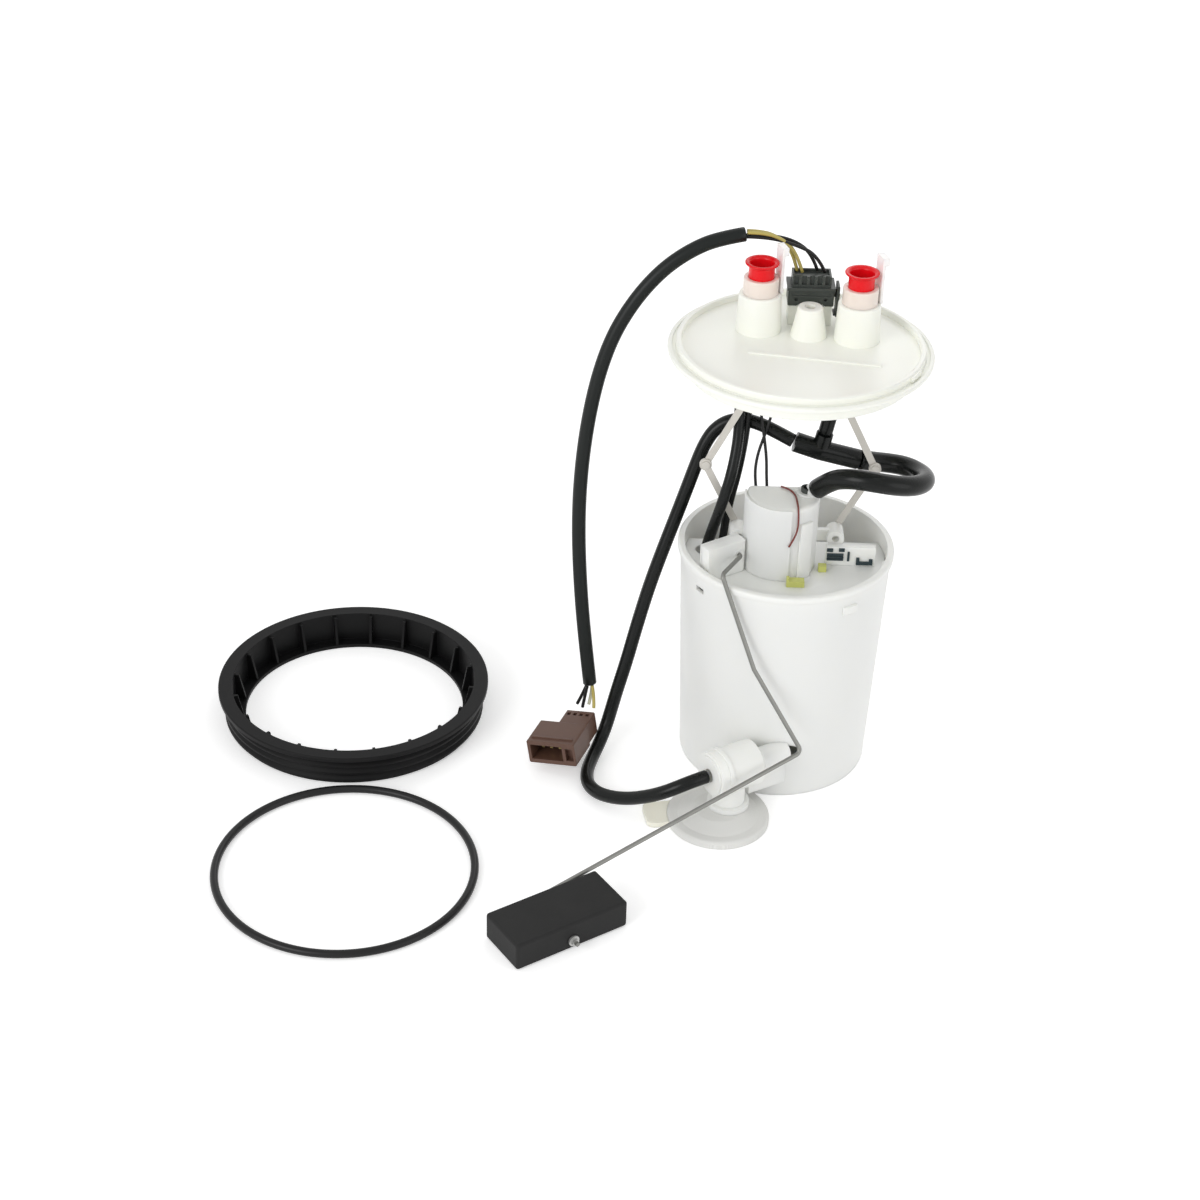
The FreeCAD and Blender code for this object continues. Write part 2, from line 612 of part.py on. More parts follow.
def outlet_cover():
    body = cyl(CAN_R, CAN_Z1, OUTLET_Z, TOWER)
    body = body.fuse(ring(CAN_R - CAN_WALL - 0.02, CAN_R - 4, CAN_Z1 - 2.5, CAN_Z1, TOWER))
    body = body.cut(cyl(COMMUTATOR_R + 3.6, CAN_Z1 - 3, CAN_Z1 + 7.0, TOWER))
    body = body.cut(cyl(SHAFT_R + RUN_FIT, CAN_Z1, OUTLET_Z - 3.0, TOWER))
    body = body.fuse(cyl(OUTLET_R, OUTLET_Z, TOWER_TOP + 3.4, SPOUT_IN))
    body = body.cut(cyl(VALVE_BORE_R, OUTLET_Z - 2.0, TOWER_TOP + 4, SPOUT_IN))
    body = body.cut(cyl(1.3, CAN_Z1 + 6, OUTLET_Z, SPOUT_IN))
    for side in (1, -1):
        slot = box(-BRUSH_W / 2, BRUSH_W / 2, 0, COMMUTATOR_R + 6.2, BRUSH_Z0 - 0.05, BRUSH_Z1 + 0.05)
        slot = turned(slot, 90 - 90 * side)
        slot.translate(V(TOWER[0], TOWER[1], 0))
        body = body.cut(slot)
    return body.removeSplitter()


def outlet_spout():
    """Elbow on top of the tower that carries the fuel to the loop hose."""
    z0 = TOWER_TOP
    end = V(*LOOP_ROUTE[-1])
    before = V(*LOOP_ROUTE[-2])
    step = (end - before).normalize()
    foot = cyl(OUTLET_R + 2.2, z0, z0 + SPOUT_T, SPOUT_IN)
    barrel = rod(end + step * SPOUT_GAP, end + step * 9.0, SPOUT_R)
    bridge = box(SPOUT_IN[0], end.x, end.y - 2.6, end.y + 4.6, z0, z0 + SPOUT_T)
    top = foot.fuse(bridge).fuse(barrel.common(cyl(60, z0, z0 + 30)))
    top = top.cut(cyl(OUTLET_R + SEAT_FIT, z0 - 1, z0 + 4, SPOUT_IN))
    top = top.cut(rod(before, end + step * 0.1, LOOP_D / 2))
    return top.removeSplitter()


def check_valve():
    z0 = OUTLET_Z - 2.0
    stem = cyl(0.9, z0 + VALVE_H, z0 + VALVE_H + 5.8, SPOUT_IN)
    return cyl(VALVE_BORE_R - RUN_FIT, z0, z0 + VALVE_H, SPOUT_IN).fuse(stem)


def magnets():
    shells = []
    for k in (0, 180):
        arc = sector(MAGNET_R, 20 + k, 160 + k, ARMATURE_Z0 - 2, ARMATURE_Z1 + 2, TOWER)
        shells.append(arc.cut(cyl(MAGNET_R - MAGNET_T, ARMATURE_Z0 - 3, ARMATURE_Z1 + 3, TOWER)))
    return Part.makeCompound(shells)


def armature():
    core = cyl(ARMATURE_R, ARMATURE_Z0, ARMATURE_Z1, TOWER)
    core = core.cut(cyl(SHAFT_R, ARMATURE_Z0 - 1, ARMATURE_Z1 + 1, TOWER))
    for k in range(SLOTS):
        slot = box(ARMATURE_R - 5, ARMATURE_R + 1, -0.8, 0.8, ARMATURE_Z0 - 1, ARMATURE_Z1 + 1)
        slot.translate(V(TOWER[0], TOWER[1], 0))
        core = core.cut(turned(slot, 360 / SLOTS * k, TOWER))
    return core


def windings():
    coils = [ring(ARMATURE_R - 1.2, SHAFT_R, z0, z0 + WINDING_H, TOWER)
             for z0 in (ARMATURE_Z0 - WINDING_H, ARMATURE_Z1)]
    return Part.makeCompound(coils)


def commutator():
    z0, z1 = ARMATURE_Z1 + WINDING_H + 1.5, BRUSH_Z1 + 1.0
    drum = ring(COMMUTATOR_R, SHAFT_R, z0, z1, TOWER)
    for k in range(SLOTS):
        slot = box(COMMUTATOR_R - 1, COMMUTATOR_R + 1, -0.3, 0.3, z0 - 1, z1 + 1)
        slot.translate(V(TOWER[0], TOWER[1], 0))
        drum = drum.cut(turned(slot, 360 / SLOTS * (k + 0.5), TOWER))
    return drum


def motor_shaft():
    return cyl(SHAFT_R, INLET_Z + 5.2, OUTLET_Z - 3.2, TOWER)


def impeller():
    wheel = ring(IMPELLER_R, SHAFT_R, ROTOR_Z, ROTOR_Z + IMPELLER_T, TOWER)
    for k in range(BLADES):
        cut = box(IMPELLER_R - 2.4, IMPELLER_R + 1, -0.7, 0.7, ROTOR_Z - 1, ROTOR_Z + IMPELLER_T + 1)
        cut.translate(V(TOWER[0], TOWER[1], 0))
        wheel = wheel.cut(turned(cut, 360 / BLADES * k, TOWER))
    return wheel


def brushes():
    blocks = []
    for k in (0, 180):
        block = box(COMMUTATOR_R + 0.15, COMMUTATOR_R + 4.4, -BRUSH_W / 2, BRUSH_W / 2, BRUSH_Z0, BRUSH_Z1)
        block.translate(V(TOWER[0], TOWER[1], 0))
        blocks.append(turned(block, 90 + k, TOWER))
    return Part.makeCompound(blocks)


def inlet_strainer():
    z1 = INLET_Z - 1.0
    sock = cyl(STRAINER_R, z1 - STRAINER_H, z1, TOWER)
    return sock.cut(cyl(INLET_NECK_R + SEAT_FIT, z1 - STRAINER_H - 1, z1 + 1, INLET_NECK))


def jet_nozzle():
    start = JET_L + JET_DIR * (JET_LEN - 16.0)
    tip = start + JET_DIR * NOZZLE_L
    nozzle = rod(start, tip, 3.4).fuse(Part.makeCone(3.4, 1.4, 5, tip, JET_DIR))
    nozzle = nozzle.fuse(rod(start, start + JET_DIR * 3, JET_BORE_R - 0.02))
    return nozzle.cut(rod(start - JET_DIR, start + JET_DIR * 16, 0.8))


# Jet pump, gusset and foot filter

def jet_pump_body():
    end = JET_L + JET_DIR * JET_LEN
    body = rod(JET_L + JET_DIR * 1.2, end, JET_R)
    body = body.fuse(rod(JET_L, JET_L + JET_DIR * 2.6, JET_R - 1.6))
    collar = JET_L + JET_DIR * JET_COLLAR_AT
    body = body.fuse(rod(collar, collar + JET_DIR * 2.2, JET_R + 0.9))
    body = body.fuse(Part.makeCone(JET_R - 1.5, JET_NECK_R + 0.6, 4.0, end, JET_DIR))
    reach = jet_wall_reach() + 1.5
    body = body.fuse(rod(end, JET_L + JET_DIR * reach, JET_NECK_R))
    stem_at = JET_L + JET_DIR * STEM_AT
    stem_c = (stem_at.x, stem_at.y)
    hub_top = FOOT_TOP + FOOT_HUB_H
    body = body.fuse(cyl(STEM_R, hub_top, JET_L.z, stem_c))
    body = body.cut(rod(JET_L - JET_DIR, JET_L + JET_DIR * (JET_LEN - 3), JET_BORE_R))
    body = body.cut(rod(JET_L + JET_DIR * (JET_LEN - 6), JET_L + JET_DIR * (reach + 1), JET_THROAT_R))
    body = body.cut(cyl(STEM_R / 2, FOOT_TOP, JET_L.z, stem_c))
    body = body.fuse(tube_between(JET_L, JET_L + JET_DIR * 5, JET_BORE_R + 0.2, SUCTION_D / 2 + 0.02))
    hub = ring(STEM_R + 2.4, STEM_R / 2, FOOT_TOP, hub_top, stem_c)
    body = body.fuse(hub).fuse(jet_gusset())
    wall = cone(cup_outer(0), cup_outer(CUP_H), 0, CUP_H)
    return body.cut(wall).removeSplitter()


def jet_gusset():
    """Web under the jet pump neck that ties it to the cup wall."""
    a = JET_L + JET_DIR * (JET_LEN - 2)
    reach = jet_wall_reach() + 2
    web = Part.makeBox(reach - JET_LEN + 2, 2.4, 16, V(0, -1.2, 0))
    web.rotate(V(0, 0, 0), UP, math.degrees(math.atan2(JET_DIR.y, JET_DIR.x)))
    web.translate(V(a.x, a.y, JET_L.z - 20))
    hollow = rod(JET_L, JET_L + JET_DIR * JET_LEN, JET_R - 1.0)
    hollow = hollow.fuse(rod(a, a + JET_DIR * 30, JET_NECK_R - 1.0))
    return web.cut(hollow)


def foot_filter():
    c = FOOT_C
    disc = cyl(FOOT_R, 0.0, FOOT_RIM_H, c)
    disc = rounded(disc, 1.8, at_height(FOOT_RIM_H))
    dome = cone(FOOT_R - 5.5, 13.0, FOOT_RIM_H, FOOT_TOP, c)
    return disc.fuse(dome).removeSplitter()


def filter_tab():
    c = FOOT_C
    tab = box(-TAB_L, 0, -TAB_W / 2, TAB_W / 2, 0.0, 3.0)
    tab = rounded(tab, 4.0, lambda e: is_vertical(e) and e.BoundBox.XMax < -10)
    tab.rotate(V(0, 0, 0), UP, 12)
    tab.translate(V(c[0] - FOOT_R + 5.0, c[1] + 1.5, 0))
    return tab.cut(cyl(FOOT_R, -1, 9, c))


# Level sender

def sender_body():
    block = sender_box(SENDER_A0, SENDER_A1, CAVITY_B0, -2.0, DECK_TOP, SENDER_TOP)
    block = block.cut(sender_box(CAVITY_A0, CAVITY_A1, CAVITY_B0 - 1, CAVITY_B1, CAVITY_Z0, CAVITY_Z1))
    boss = rod(sender_place(0, -2.2, PIVOT.z), sender_place(0, -0.4 - WIRE_R, PIVOT.z), 3.0)
    block = block.fuse(boss)
    return block.cut(rod(sender_place(0, 1, PIVOT.z), sender_place(0, -9, PIVOT.z), WIRE_R + RUN_FIT))


def sender_cover():
    return sender_box(SENDER_A0, SENDER_A1, CAVITY_B0 - SENDER_BACK, CAVITY_B0, DECK_TOP, SENDER_TOP)


def resistor_card():
    return sender_box(CAVITY_A0 + 0.1, CAVITY_A1 - 0.1, CAVITY_B0, CAVITY_B0 + CARD_T,
                      CAVITY_Z0 + 0.1, CAVITY_Z1 - 0.1)


def wiper():
    hub = rod(sender_place(0, -4.0, PIVOT.z), sender_place(0, -5.6, PIVOT.z), 2.0)
    blade = sender_box(0, WIPER_L, -5.4, -4.4, PIVOT.z - 0.9, PIVOT.z + 0.9)
    blade.rotate(PIVOT, S_AXIS, WIPER_ANGLE)
    both = hub.fuse(blade)
    return both.cut(rod(sender_place(0, -3, PIVOT.z), sender_place(0, -7, PIVOT.z), WIRE_R))


def swivel_point(reach):
    return V(FLOAT_C.x, FLOAT_C.y, SWIVEL_Z) + S_AXIS * reach


def bent_wire(p, radius, bend):
    edges = []
    start = p[0]
    for a, b, c in zip(p, p[1:], p[2:]):
        u, w = (b - a).normalize(), (c - b).normalize()
        half = u.getAngle(w) / 2
        reach = bend * math.tan(half)
        t0, t1 = b - u * reach, b + w * reach
        middle = b + (w - u).normalize() * (bend / math.cos(half) - bend)
        edges.append(Part.LineSegment(start, t0).toShape())
        edges.append(Part.Arc(t0, middle, t1).toShape())
        start = t1
    edges.append(Part.LineSegment(start, p[-1]).toShape())
    path = Part.Wire(edges)
    circle = Part.Wire(Part.Circle(p[0], p[1] - p[0], radius).toShape())
    return path.makePipeShell([circle], True, False)


def float_arm():
    pin = sender_place(0, ARM_PIN_END, PIVOT.z)
    points = [pin, PIVOT, BEND, MIDDLE, CORNER, swivel_point(-FLOAT_D / 2 - 6),
              swivel_point(FLOAT_D / 2 + 4.5)]
    return bent_wire(points, WIRE_R, WIRE_BEND)


def float_block():
    block = Part.makeBox(FLOAT_D, FLOAT_L, FLOAT_H, V(-FLOAT_D / 2, -FLOAT_L / 2, -FLOAT_H / 2))
    block = block.makeFillet(FLOAT_ROUND, block.Edges)
    block.rotate(V(0, 0, 0), UP, math.degrees(math.atan2(S_AXIS.y, S_AXIS.x)))
    block.translate(FLOAT_C)
    return block.cut(rod(swivel_point(-30), swivel_point(30), WIRE_R + RUN_FIT))


def push_nut():
    face = FLOAT_D / 2 + NUT_GAP
    nut = tube_between(swivel_point(face), swivel_point(face + 1.0), 2.9, WIRE_R)
    hub = tube_between(swivel_point(face + 1.0), swivel_point(face + 2.4), 1.9, WIRE_R)
    return nut.fuse(hub)


def contacts():
    top = DECK_TOP + CONTACT_H
    first = box(0.4, 8.2, -31.4, -27.0, DECK_TOP, top)
    blade = box(-1.0, 0.4, -31.4, -28.2, DECK_TOP, top + 1.6)
    second = box(16.4, 20.6, -15.8, -12.2, DECK_TOP, top)
    return Part.makeCompound([first.fuse(blade), second])


def terminal_box():
    x0, x1, y0, y1 = TERMINAL_BOX
    body = box(x0, x1, y0, y1, DECK_TOP, DECK_TOP + TERMINAL_H)
    return rounded(body, 0.8, at_height(DECK_TOP + TERMINAL_H))


def terminal_strips():
    """Blocks, strips and a pin on the front face, each given by its sides and heights."""
    x, y = TERMINAL_BOX[0], TERMINAL_BOX[2]
    z = DECK_TOP
    strips = [box(x + u0, x + u1, y - STRIP_OUT, y, z + v0, z + v1) for u0, u1, v0, v1 in STRIPS]
    joined = strips[0]
    for strip in strips[1:]:
        joined = joined.fuse(strip)
    return joined.removeSplitter()


# Tee and riser

def hose_tee():
    left, right = V(*SUCTION_ROUTE[0]), V(*LOOP_ROUTE[0])
    left = left + (TEE_C - left).normalize() * TEE_END_GAP
    right = right + (TEE_C - right).normalize() * TEE_END_GAP
    body = rod(left, TEE_C, TEE_R).fuse(rod(TEE_C, right, TEE_R))
    body = body.fuse(Part.makeSphere(TEE_R, TEE_C))
    up = (RISER_TOP - TEE_C).normalize()
    return body.fuse(rod(TEE_C, TEE_C + up * RISER_START, RISER_D / 2 + 0.7)).removeSplitter()


def tee_riser():
    up = (RISER_TOP - TEE_C).normalize()
    return rod(TEE_C + up * RISER_START, RISER_TOP, RISER_D / 2)


# Flange and its fittings

def flange():
    lip = cyl(FLANGE_R, FLANGE_Z, PLATE_TOP)
    lip = rounded(lip, 1.0, lambda e: at_height(PLATE_TOP)(e) or at_height(FLANGE_Z)(e))
    rim = ring(FLANGE_RING_R, FLANGE_RING_R - FLANGE_RING_W, PLATE_TOP, PLATE_TOP + FLANGE_RING_H)
    rim = rounded(rim, 0.6, at_height(PLATE_TOP + FLANGE_RING_H))
    groove = ring(FLANGE_RING_R + 2.2, FLANGE_RING_R + 0.4, PLATE_TOP - 0.7, PLATE_TOP + 1)
    body = lip.cut(groove).fuse(rim)
    body = body.fuse(ring(SPIGOT_R, SPIGOT_R - SPIGOT_WALL, FLANGE_Z - SPIGOT_H, FLANGE_Z))
    for c in (PORT_L, PORT_R):
        base = cone(PORT_BASE_R + 0.5, PORT_BASE_R - 0.3, PLATE_TOP, PORT_TOP, c)
        base = rounded(base, 0.8, at_height(PORT_TOP))
        body = body.fuse(base)
        body = body.cut(cyl(PORT_BORE_R, PORT_FLOOR, PORT_TOP + 1, c))
        body = body.cut(cyl(PORT_TUBE_R, FLANGE_Z - 1, PORT_FLOOR + 2, c))
        body = body.fuse(ring(PORT_BORE_R + 0.1, PORT_TUBE_R, PORT_FLOOR, PORT_FLOOR + 1.5, c))
    boss = cone(VENT_BOSS_R[0], VENT_BOSS_R[1], PLATE_TOP, VENT_BOSS_TOP, VENT_BOSS_C)
    boss = rounded(boss, 0.7, at_height(VENT_BOSS_TOP))
    bore_floor = VENT_BOSS_TOP - VENT_BORE_DEPTH
    body = body.fuse(boss).cut(cyl(VENT_BORE_R, bore_floor, VENT_BOSS_TOP + 1, VENT_BOSS_C))
    body = body.cut(cyl(1.2, FLANGE_Z - 1, VENT_BOSS_TOP, VENT_BOSS_C))
    rib = box(-RIB_L / 2, RIB_L / 2, -0.9, 0.9, PLATE_TOP - 0.2, PLATE_TOP + 1.0)
    rib = moved(turned(rib, RIB_ANGLE), RIB_AT[0], RIB_AT[1], 0)
    body = body.fuse(rib)
    stop = box(STOP_REACH[0], STOP_REACH[1], -STOP_W / 2, STOP_W / 2, PLATE_TOP - 0.2, PLATE_TOP + 2.4)
    body = body.fuse(turned(stop, STOP_ANGLE))
    for side in (1, -1):
        ear = box(side * ARM_B[0] - EAR_W / 2, side * ARM_B[0] + EAR_W / 2, EAR_Y0, EAR_Y0 + EAR_T,
                  ARM_B[1] - TOP_EYE_R - 0.2, FLANGE_Z)
        body = body.fuse(ear).fuse(ear_peg(side))
    for c in NIPPLES:
        body = body.fuse(cyl(NIPPLE_R, NIPPLE_LOW, FLANGE_Z, c))
    return body.removeSplitter()


def port_collar(c):
    z0 = PORT_TOP
    body = ring(COLLAR_R, PORT_BORE_R, z0, z0 + COLLAR_H, c)
    return rounded(body, 0.7, lambda e: at_height(z0 + COLLAR_H)(e) and e.Curve.Radius > COLLAR_R - 0.1)


def latch_finger(c):
    z0 = PORT_TOP
    x0, half = COLLAR_R + 0.1, FINGER_W / 2
    plate = box(x0, x0 + FINGER_T, -half, half, z0, FINGER_TOP)
    head = box(x0, x0 + FINGER_HEAD, -half, half, FINGER_TOP - FINGER_HEAD_H, FINGER_TOP)
    foot = box(x0, PORT_BASE_R - 0.2, -half, half, z0, z0 + 1.5)
    solid = turned(plate.fuse(head).fuse(foot), FINGER_ANGLE)
    return moved(solid.removeSplitter(), c[0], c[1], 0)


def port_cap(c):
    inner = CAP_R - CAP_WALL
    body = cyl(CAP_R, CAP_Z0, CAP_LIP_Z, c)
    flare = cone(CAP_R, CAP_LIP_R, CAP_LIP_Z - 1.2, CAP_LIP_Z + 1.2, c)
    lip = ring(CAP_LIP_R, inner, CAP_LIP_Z + 1.2, CAP_LIP_Z + 2.2, c)
    cup = body.fuse(flare).fuse(lip)
    inside = cyl(inner, CAP_Z0 + 1.4, CAP_LIP_Z + 5, c)
    mouth = cone(inner, CAP_LIP_R - 1.0, CAP_LIP_Z - 1.2, CAP_LIP_Z + 2.2, c)
    return cup.cut(inside).cut(mouth).removeSplitter()


def plug_box(dx0, dx1, dy0, dy1, z0, z1):
    return box(SOCKET_X + dx0, SOCKET_X + dx1, SOCKET_Y + dy0, SOCKET_Y + dy1, z0, z1)


def plug_socket():
    wall = plug_box(-10.9, 10.9, -5.9, 5.9, PLATE_TOP, SOCKET_Z1)
    neck = plug_box(-9.4, 9.4, -4.3, 4.3, SOCKET_Z1, SOCKET_Z1 + 7.5)
    well = plug_box(-8.2, 8.2, -3.1, 3.1, SOCKET_Z1 - 4.0, SOCKET_Z1 + 8)
    return wall.fuse(neck).cut(well).removeSplitter()


def socket_pins():
    pins = []
    for k in range(SOCKET_PINS):
        x = PIN_PITCH * (k - (SOCKET_PINS - 1) / 2)
        pins.append(plug_box(x - 0.6, x + 0.6, -0.4, 0.4, SOCKET_Z1 - 4.0, SOCKET_Z1 + 5.5))
    return Part.makeCompound(pins)


def grey_plug():
    body = plug_box(-PLUG_HALF_W, PLUG_HALF_W, -PLUG_HALF_D, PLUG_HALF_D, PLUG_LOW, PLUG_LEDGE)
    body = rounded(body, 0.8, is_vertical)
    ledge = plug_box(-PLUG_HALF_W - 0.6, PLUG_HALF_W + 0.4, -PLUG_HALF_D - 0.8, PLUG_HALF_D + 0.2,
                     PLUG_LEDGE - 1.6, PLUG_LEDGE)
    groove = plug_box(-10.0, 10.0, -7.0, 0.4 - PLUG_HALF_D, PLUG_LEDGE - 4.6, PLUG_LEDGE - 2.8)
    comb = plug_box(-COMB_HALF_W, COMB_HALF_W, -5.6, 5.2, PLUG_LEDGE, PLUG_TOP)
    pitch = 2 * COMB_HALF_W / COMB_TEETH
    for k in range(COMB_TEETH):
        x = pitch * (k + 0.5) - COMB_HALF_W
        comb = comb.cut(plug_box(x - 1.15, x + 1.15, -6.5, -4.2, PLUG_LEDGE + 1.2, PLUG_TOP + 1))
    comb = comb.cut(plug_box(-8.8, 8.8, -3.2, 4.0, PLUG_TOP - 1.6, PLUG_TOP + 1))
    body = body.cut(groove).fuse(ledge).fuse(comb)
    body = body.cut(plug_box(-9.45, 9.45, -4.35, 4.35, PLUG_LOW - 1, PLUG_LEDGE - 2.0))
    arch = Part.makeCylinder(11.0, 10, V(SOCKET_X, SOCKET_Y - 12, PLUG_LOW - 8.2), V(0, 1, 0))
    body = body.cut(arch.common(box(-60, 60, -60, SOCKET_Y - 4.4, 0, 400)))
    for side in (1, -1):
        hole = Part.makeCylinder(0.9, 4, V(SOCKET_X + side * 7.4, SOCKET_Y - 9, PLUG_LOW + 3.4), V(0, 1, 0))
        body = body.cut(hole)
    return body.fuse(latch_pivot()).removeSplitter()


def latch_rod(radius, dy0, dy1):
    start = V(SOCKET_X + LATCH_X, SOCKET_Y + dy0, LATCH_PIVOT_Z)
    return Part.makeCylinder(radius, dy1 - dy0, start, V(0, 1, 0))


def latch_pivot():
    """Pin between two lugs on the side of the plug."""
    low, high = LATCH_PIVOT_Z - LUG_R, LATCH_PIVOT_Z + LUG_R
    pivot = latch_rod(LATCH_PIN_R, -LUG_DY[1], LUG_DY[1])
    for dy0, dy1 in ((-LUG_DY[1], -LUG_DY[0]), LUG_DY):
        root = plug_box(PLUG_HALF_W - 0.5, LATCH_X, dy0, dy1, low, high)
        pivot = pivot.fuse(root).fuse(latch_rod(LUG_R, dy0, dy1))
    return pivot


def plug_latch():
    x0, x1 = LATCH_X - LATCH_T / 2, LATCH_X + LATCH_T / 2
    lever = plug_box(x0, x1, -5.4, 3.0, LATCH_LOW, LATCH_TOP)
    nose = plug_box(x0 - 1.0, x0, -4.0, 2.0, LATCH_LOW, LATCH_LOW + 1.2)
    lever = rounded(lever.fuse(nose), 0.5, at_height(LATCH_TOP))
    gap = 0.15
    for dy0, dy1 in ((-LUG_DY[1], -LUG_DY[0]), LUG_DY):
        window = plug_box(x0 - 1, x1 + 1, dy0 - gap, dy1 + gap,
                          LATCH_PIVOT_Z - LUG_R - 2 * gap, LATCH_PIVOT_Z + LUG_R + 2 * gap)
        lever = lever.cut(window)
    hub = latch_rod(LUG_R, -LUG_DY[0] + gap, LUG_DY[0] - gap)
    return lever.fuse(hub).cut(latch_rod(LATCH_PIN_R + RUN_FIT, -5, 5)).removeSplitter()


# Knee arms

def strap(side, low, high, y0, y1, eye_low, eye_high, hole_low, hole_high):
    a = V(side * low[0], y0, low[1])
    b = V(side * high[0], y0, high[1])
    along = b - a
    body = Part.makeBox(along.Length, ARM_W, y1 - y0, V(0, -ARM_W / 2, 0))
    frame = FreeCAD.Rotation(along.normalize(), along.cross(V(0, 1, 0)) * -1, V(0, 1, 0), "ZXY")
    body.Placement = FreeCAD.Placement(a, frame)
    for end, eye in ((a, eye_low), (b, eye_high)):
        body = body.fuse(Part.makeCylinder(eye, y1 - y0, end, V(0, 1, 0)))
    for end, hole in ((a, hole_low), (b, hole_high)):
        body = body.cut(Part.makeCylinder(hole, y1 - y0 + 2, end - V(0, 1, 0), V(0, 1, 0)))
    return body.removeSplitter()


def lower_arm(side):
    arm = strap(side, ARM_A, ARM_K, ARM_FRONT, ARM_Y - ARM_GAP, EYE_R, EYE_R, RIVET_R + RUN_FIT, RIVET_R)
    return arm.fuse(knee_rivet(side)).removeSplitter()


def upper_arm(side):
    return strap(side, ARM_K, ARM_B, ARM_Y + ARM_GAP, ARM_BACK,
                 EYE_R, TOP_EYE_R, RIVET_R + RUN_FIT, OPEN_PIVOT_R)


def knee_rivet(side):
    p = V(side * ARM_K[0], ARM_FRONT - 0.8, ARM_K[1])
    pin = Part.makeCylinder(RIVET_R, ARM_T + 1.8, p, V(0, 1, 0))
    head = Part.makeCylinder(2.2, 0.8, p, V(0, 1, 0))
    tail = Part.makeCylinder(2.0, 0.7, p + V(0, ARM_T + 0.9, 0), V(0, 1, 0))
    return pin.fuse(head).fuse(tail)


def ear_peg(side):
    """Headed peg on a flange ear; the open eye of the upper strap hangs on it."""
    p = V(side * ARM_B[0], ARM_FRONT - 1.0, ARM_B[1])
    peg = Part.makeCylinder(RIVET_R, EAR_Y0 + EAR_T - p.y, p, V(0, 1, 0))
    return peg.fuse(Part.makeCylinder(3.6, 0.8, p, V(0, 1, 0)))


# Brown plug at the end of the harness

def placed_brown(shape):
    turn = FreeCAD.Rotation(UP, BROWN_YAW) * FreeCAD.Rotation(V(0, 1, 0), BROWN_ROLL)
    shape.Placement = FreeCAD.Placement(BROWN_AT, turn)
    return shape


def brown_plug():
    hood = box(0, BROWN_W, 0, BROWN_HOOD, -BROWN_H, 0)
    hood = rounded(hood, 1.0, lambda e: e.BoundBox.YLength > BROWN_HOOD - 1)
    neck = box(BROWN_NECK_X, BROWN_W - 0.6, BROWN_HOOD - 0.5, BROWN_LEN, -BROWN_H + 0.8, -0.6)
    neck = rounded(neck, 0.8, lambda e: e.BoundBox.YLength > 5)
    body = hood.fuse(neck)
    body = body.cut(box(1.8, BROWN_W - 7.5, -1, BROWN_DEPTH, -BROWN_H + 2.4, -2.6))
    body = body.cut(box(BROWN_W - 5.6, BROWN_W - 1.4, -1, 3.0, -BROWN_H + 3.0, -3.4))
    rib = box(2.0, BROWN_W - 2.0, 3.0, 4.2, -0.2, 0.8)
    body = body.fuse(rib)
    for k in range(4):
        x = BROWN_NECK_X + 2.6 + k * 3.6
        body = body.cut(box(x - 1.0, x + 1.0, BROWN_LEN - 4.5, BROWN_LEN - 2.0, -2.6, 1.0))
    return body.removeSplitter()


def brown_terminals():
    pins = []
    for row in range(2):
        for k in range(3):
            x, z = 5.0 + 5.0 * k, -5.0 - 4.2 * row
            pins.append(box(x - 0.8, x + 0.8, 8.5, BROWN_DEPTH, z - 0.4, z + 0.4))
    return Part.makeCompound(pins)


# Loose rings that come with the module

def lock_ring():
    wall = ring(LOCK_WALL_R1, LOCK_WALL_R0, 0, LOCK_H)
    lip = ring(LOCK_R, LOCK_WALL_R0, LOCK_H - LOCK_LIP_T, LOCK_H)
    lip = rounded(lip, 0.7, lambda e: at_height(LOCK_H)(e))
    shelf = ring(LOCK_WALL_R0 + 0.5, LOCK_SHELF_R, 0, LOCK_SHELF_T)
    body = wall.fuse(lip).fuse(shelf)
    for k in range(THREADS):
        z = 2.6 + THREAD_PITCH * k
        thread = cone(LOCK_WALL_R1 + THREAD_H, LOCK_WALL_R1 - 0.1, z + 0.5, z + 2.2)
        thread = thread.fuse(cyl(LOCK_WALL_R1 + THREAD_H, z - 0.5, z + 0.5))
        body = body.fuse(thread.cut(cyl(LOCK_WALL_R1 - 0.5, z - 1, z + 4)))
    inner, outer, low, high = LOCK_SHELF_R + 0.6, LOCK_WALL_R0 + 0.5, LOCK_SHELF_T - 0.5, LOCK_H - 1.0
    outline = [V(inner, 0, low), V(outer, 0, low), V(outer, 0, high),
               V(LOCK_WALL_R0 - LOCK_RIB_REACH, 0, high)]
    rib = Part.Face(Part.makePolygon(outline + outline[:1])).extrude(V(0, LOCK_RIB_T, 0))
    rib.translate(V(0, -LOCK_RIB_T / 2, 0))
    for k in range(LOCK_RIBS):
        body = body.fuse(turned(rib, 360 / LOCK_RIBS * k + LOCK_RIB_ANGLE))
    body.translate(V(LOCK_C[0], LOCK_C[1], 0))
    return body.removeSplitter()


def seal_ring():
    return Part.makeTorus(SEAL_MID_R, SEAL_CORD_R, V(SEAL_C[0], SEAL_C[1], SEAL_CORD_R))


def wire_group(label, routes, diameter):
    wires = [cord("%s %d" % (label, k + 1), route, diameter) for k, route in enumerate(routes)]
    return Part.makeCompound(wires)


def red_wire():
    return cord("red wire", RED_ROUTE, RED_WIRE_D)


def save(name, shape):
    shape.exportStep("parts/%s.step" % name)
    print("%-18s solids %d  volume %8.1f  valid %s"
          % (name, len(shape.Solids), shape.Volume, shape.isValid()))


def main():
    os.makedirs("parts", exist_ok=True)
    for name, make in PIECES:
        save(name, make())


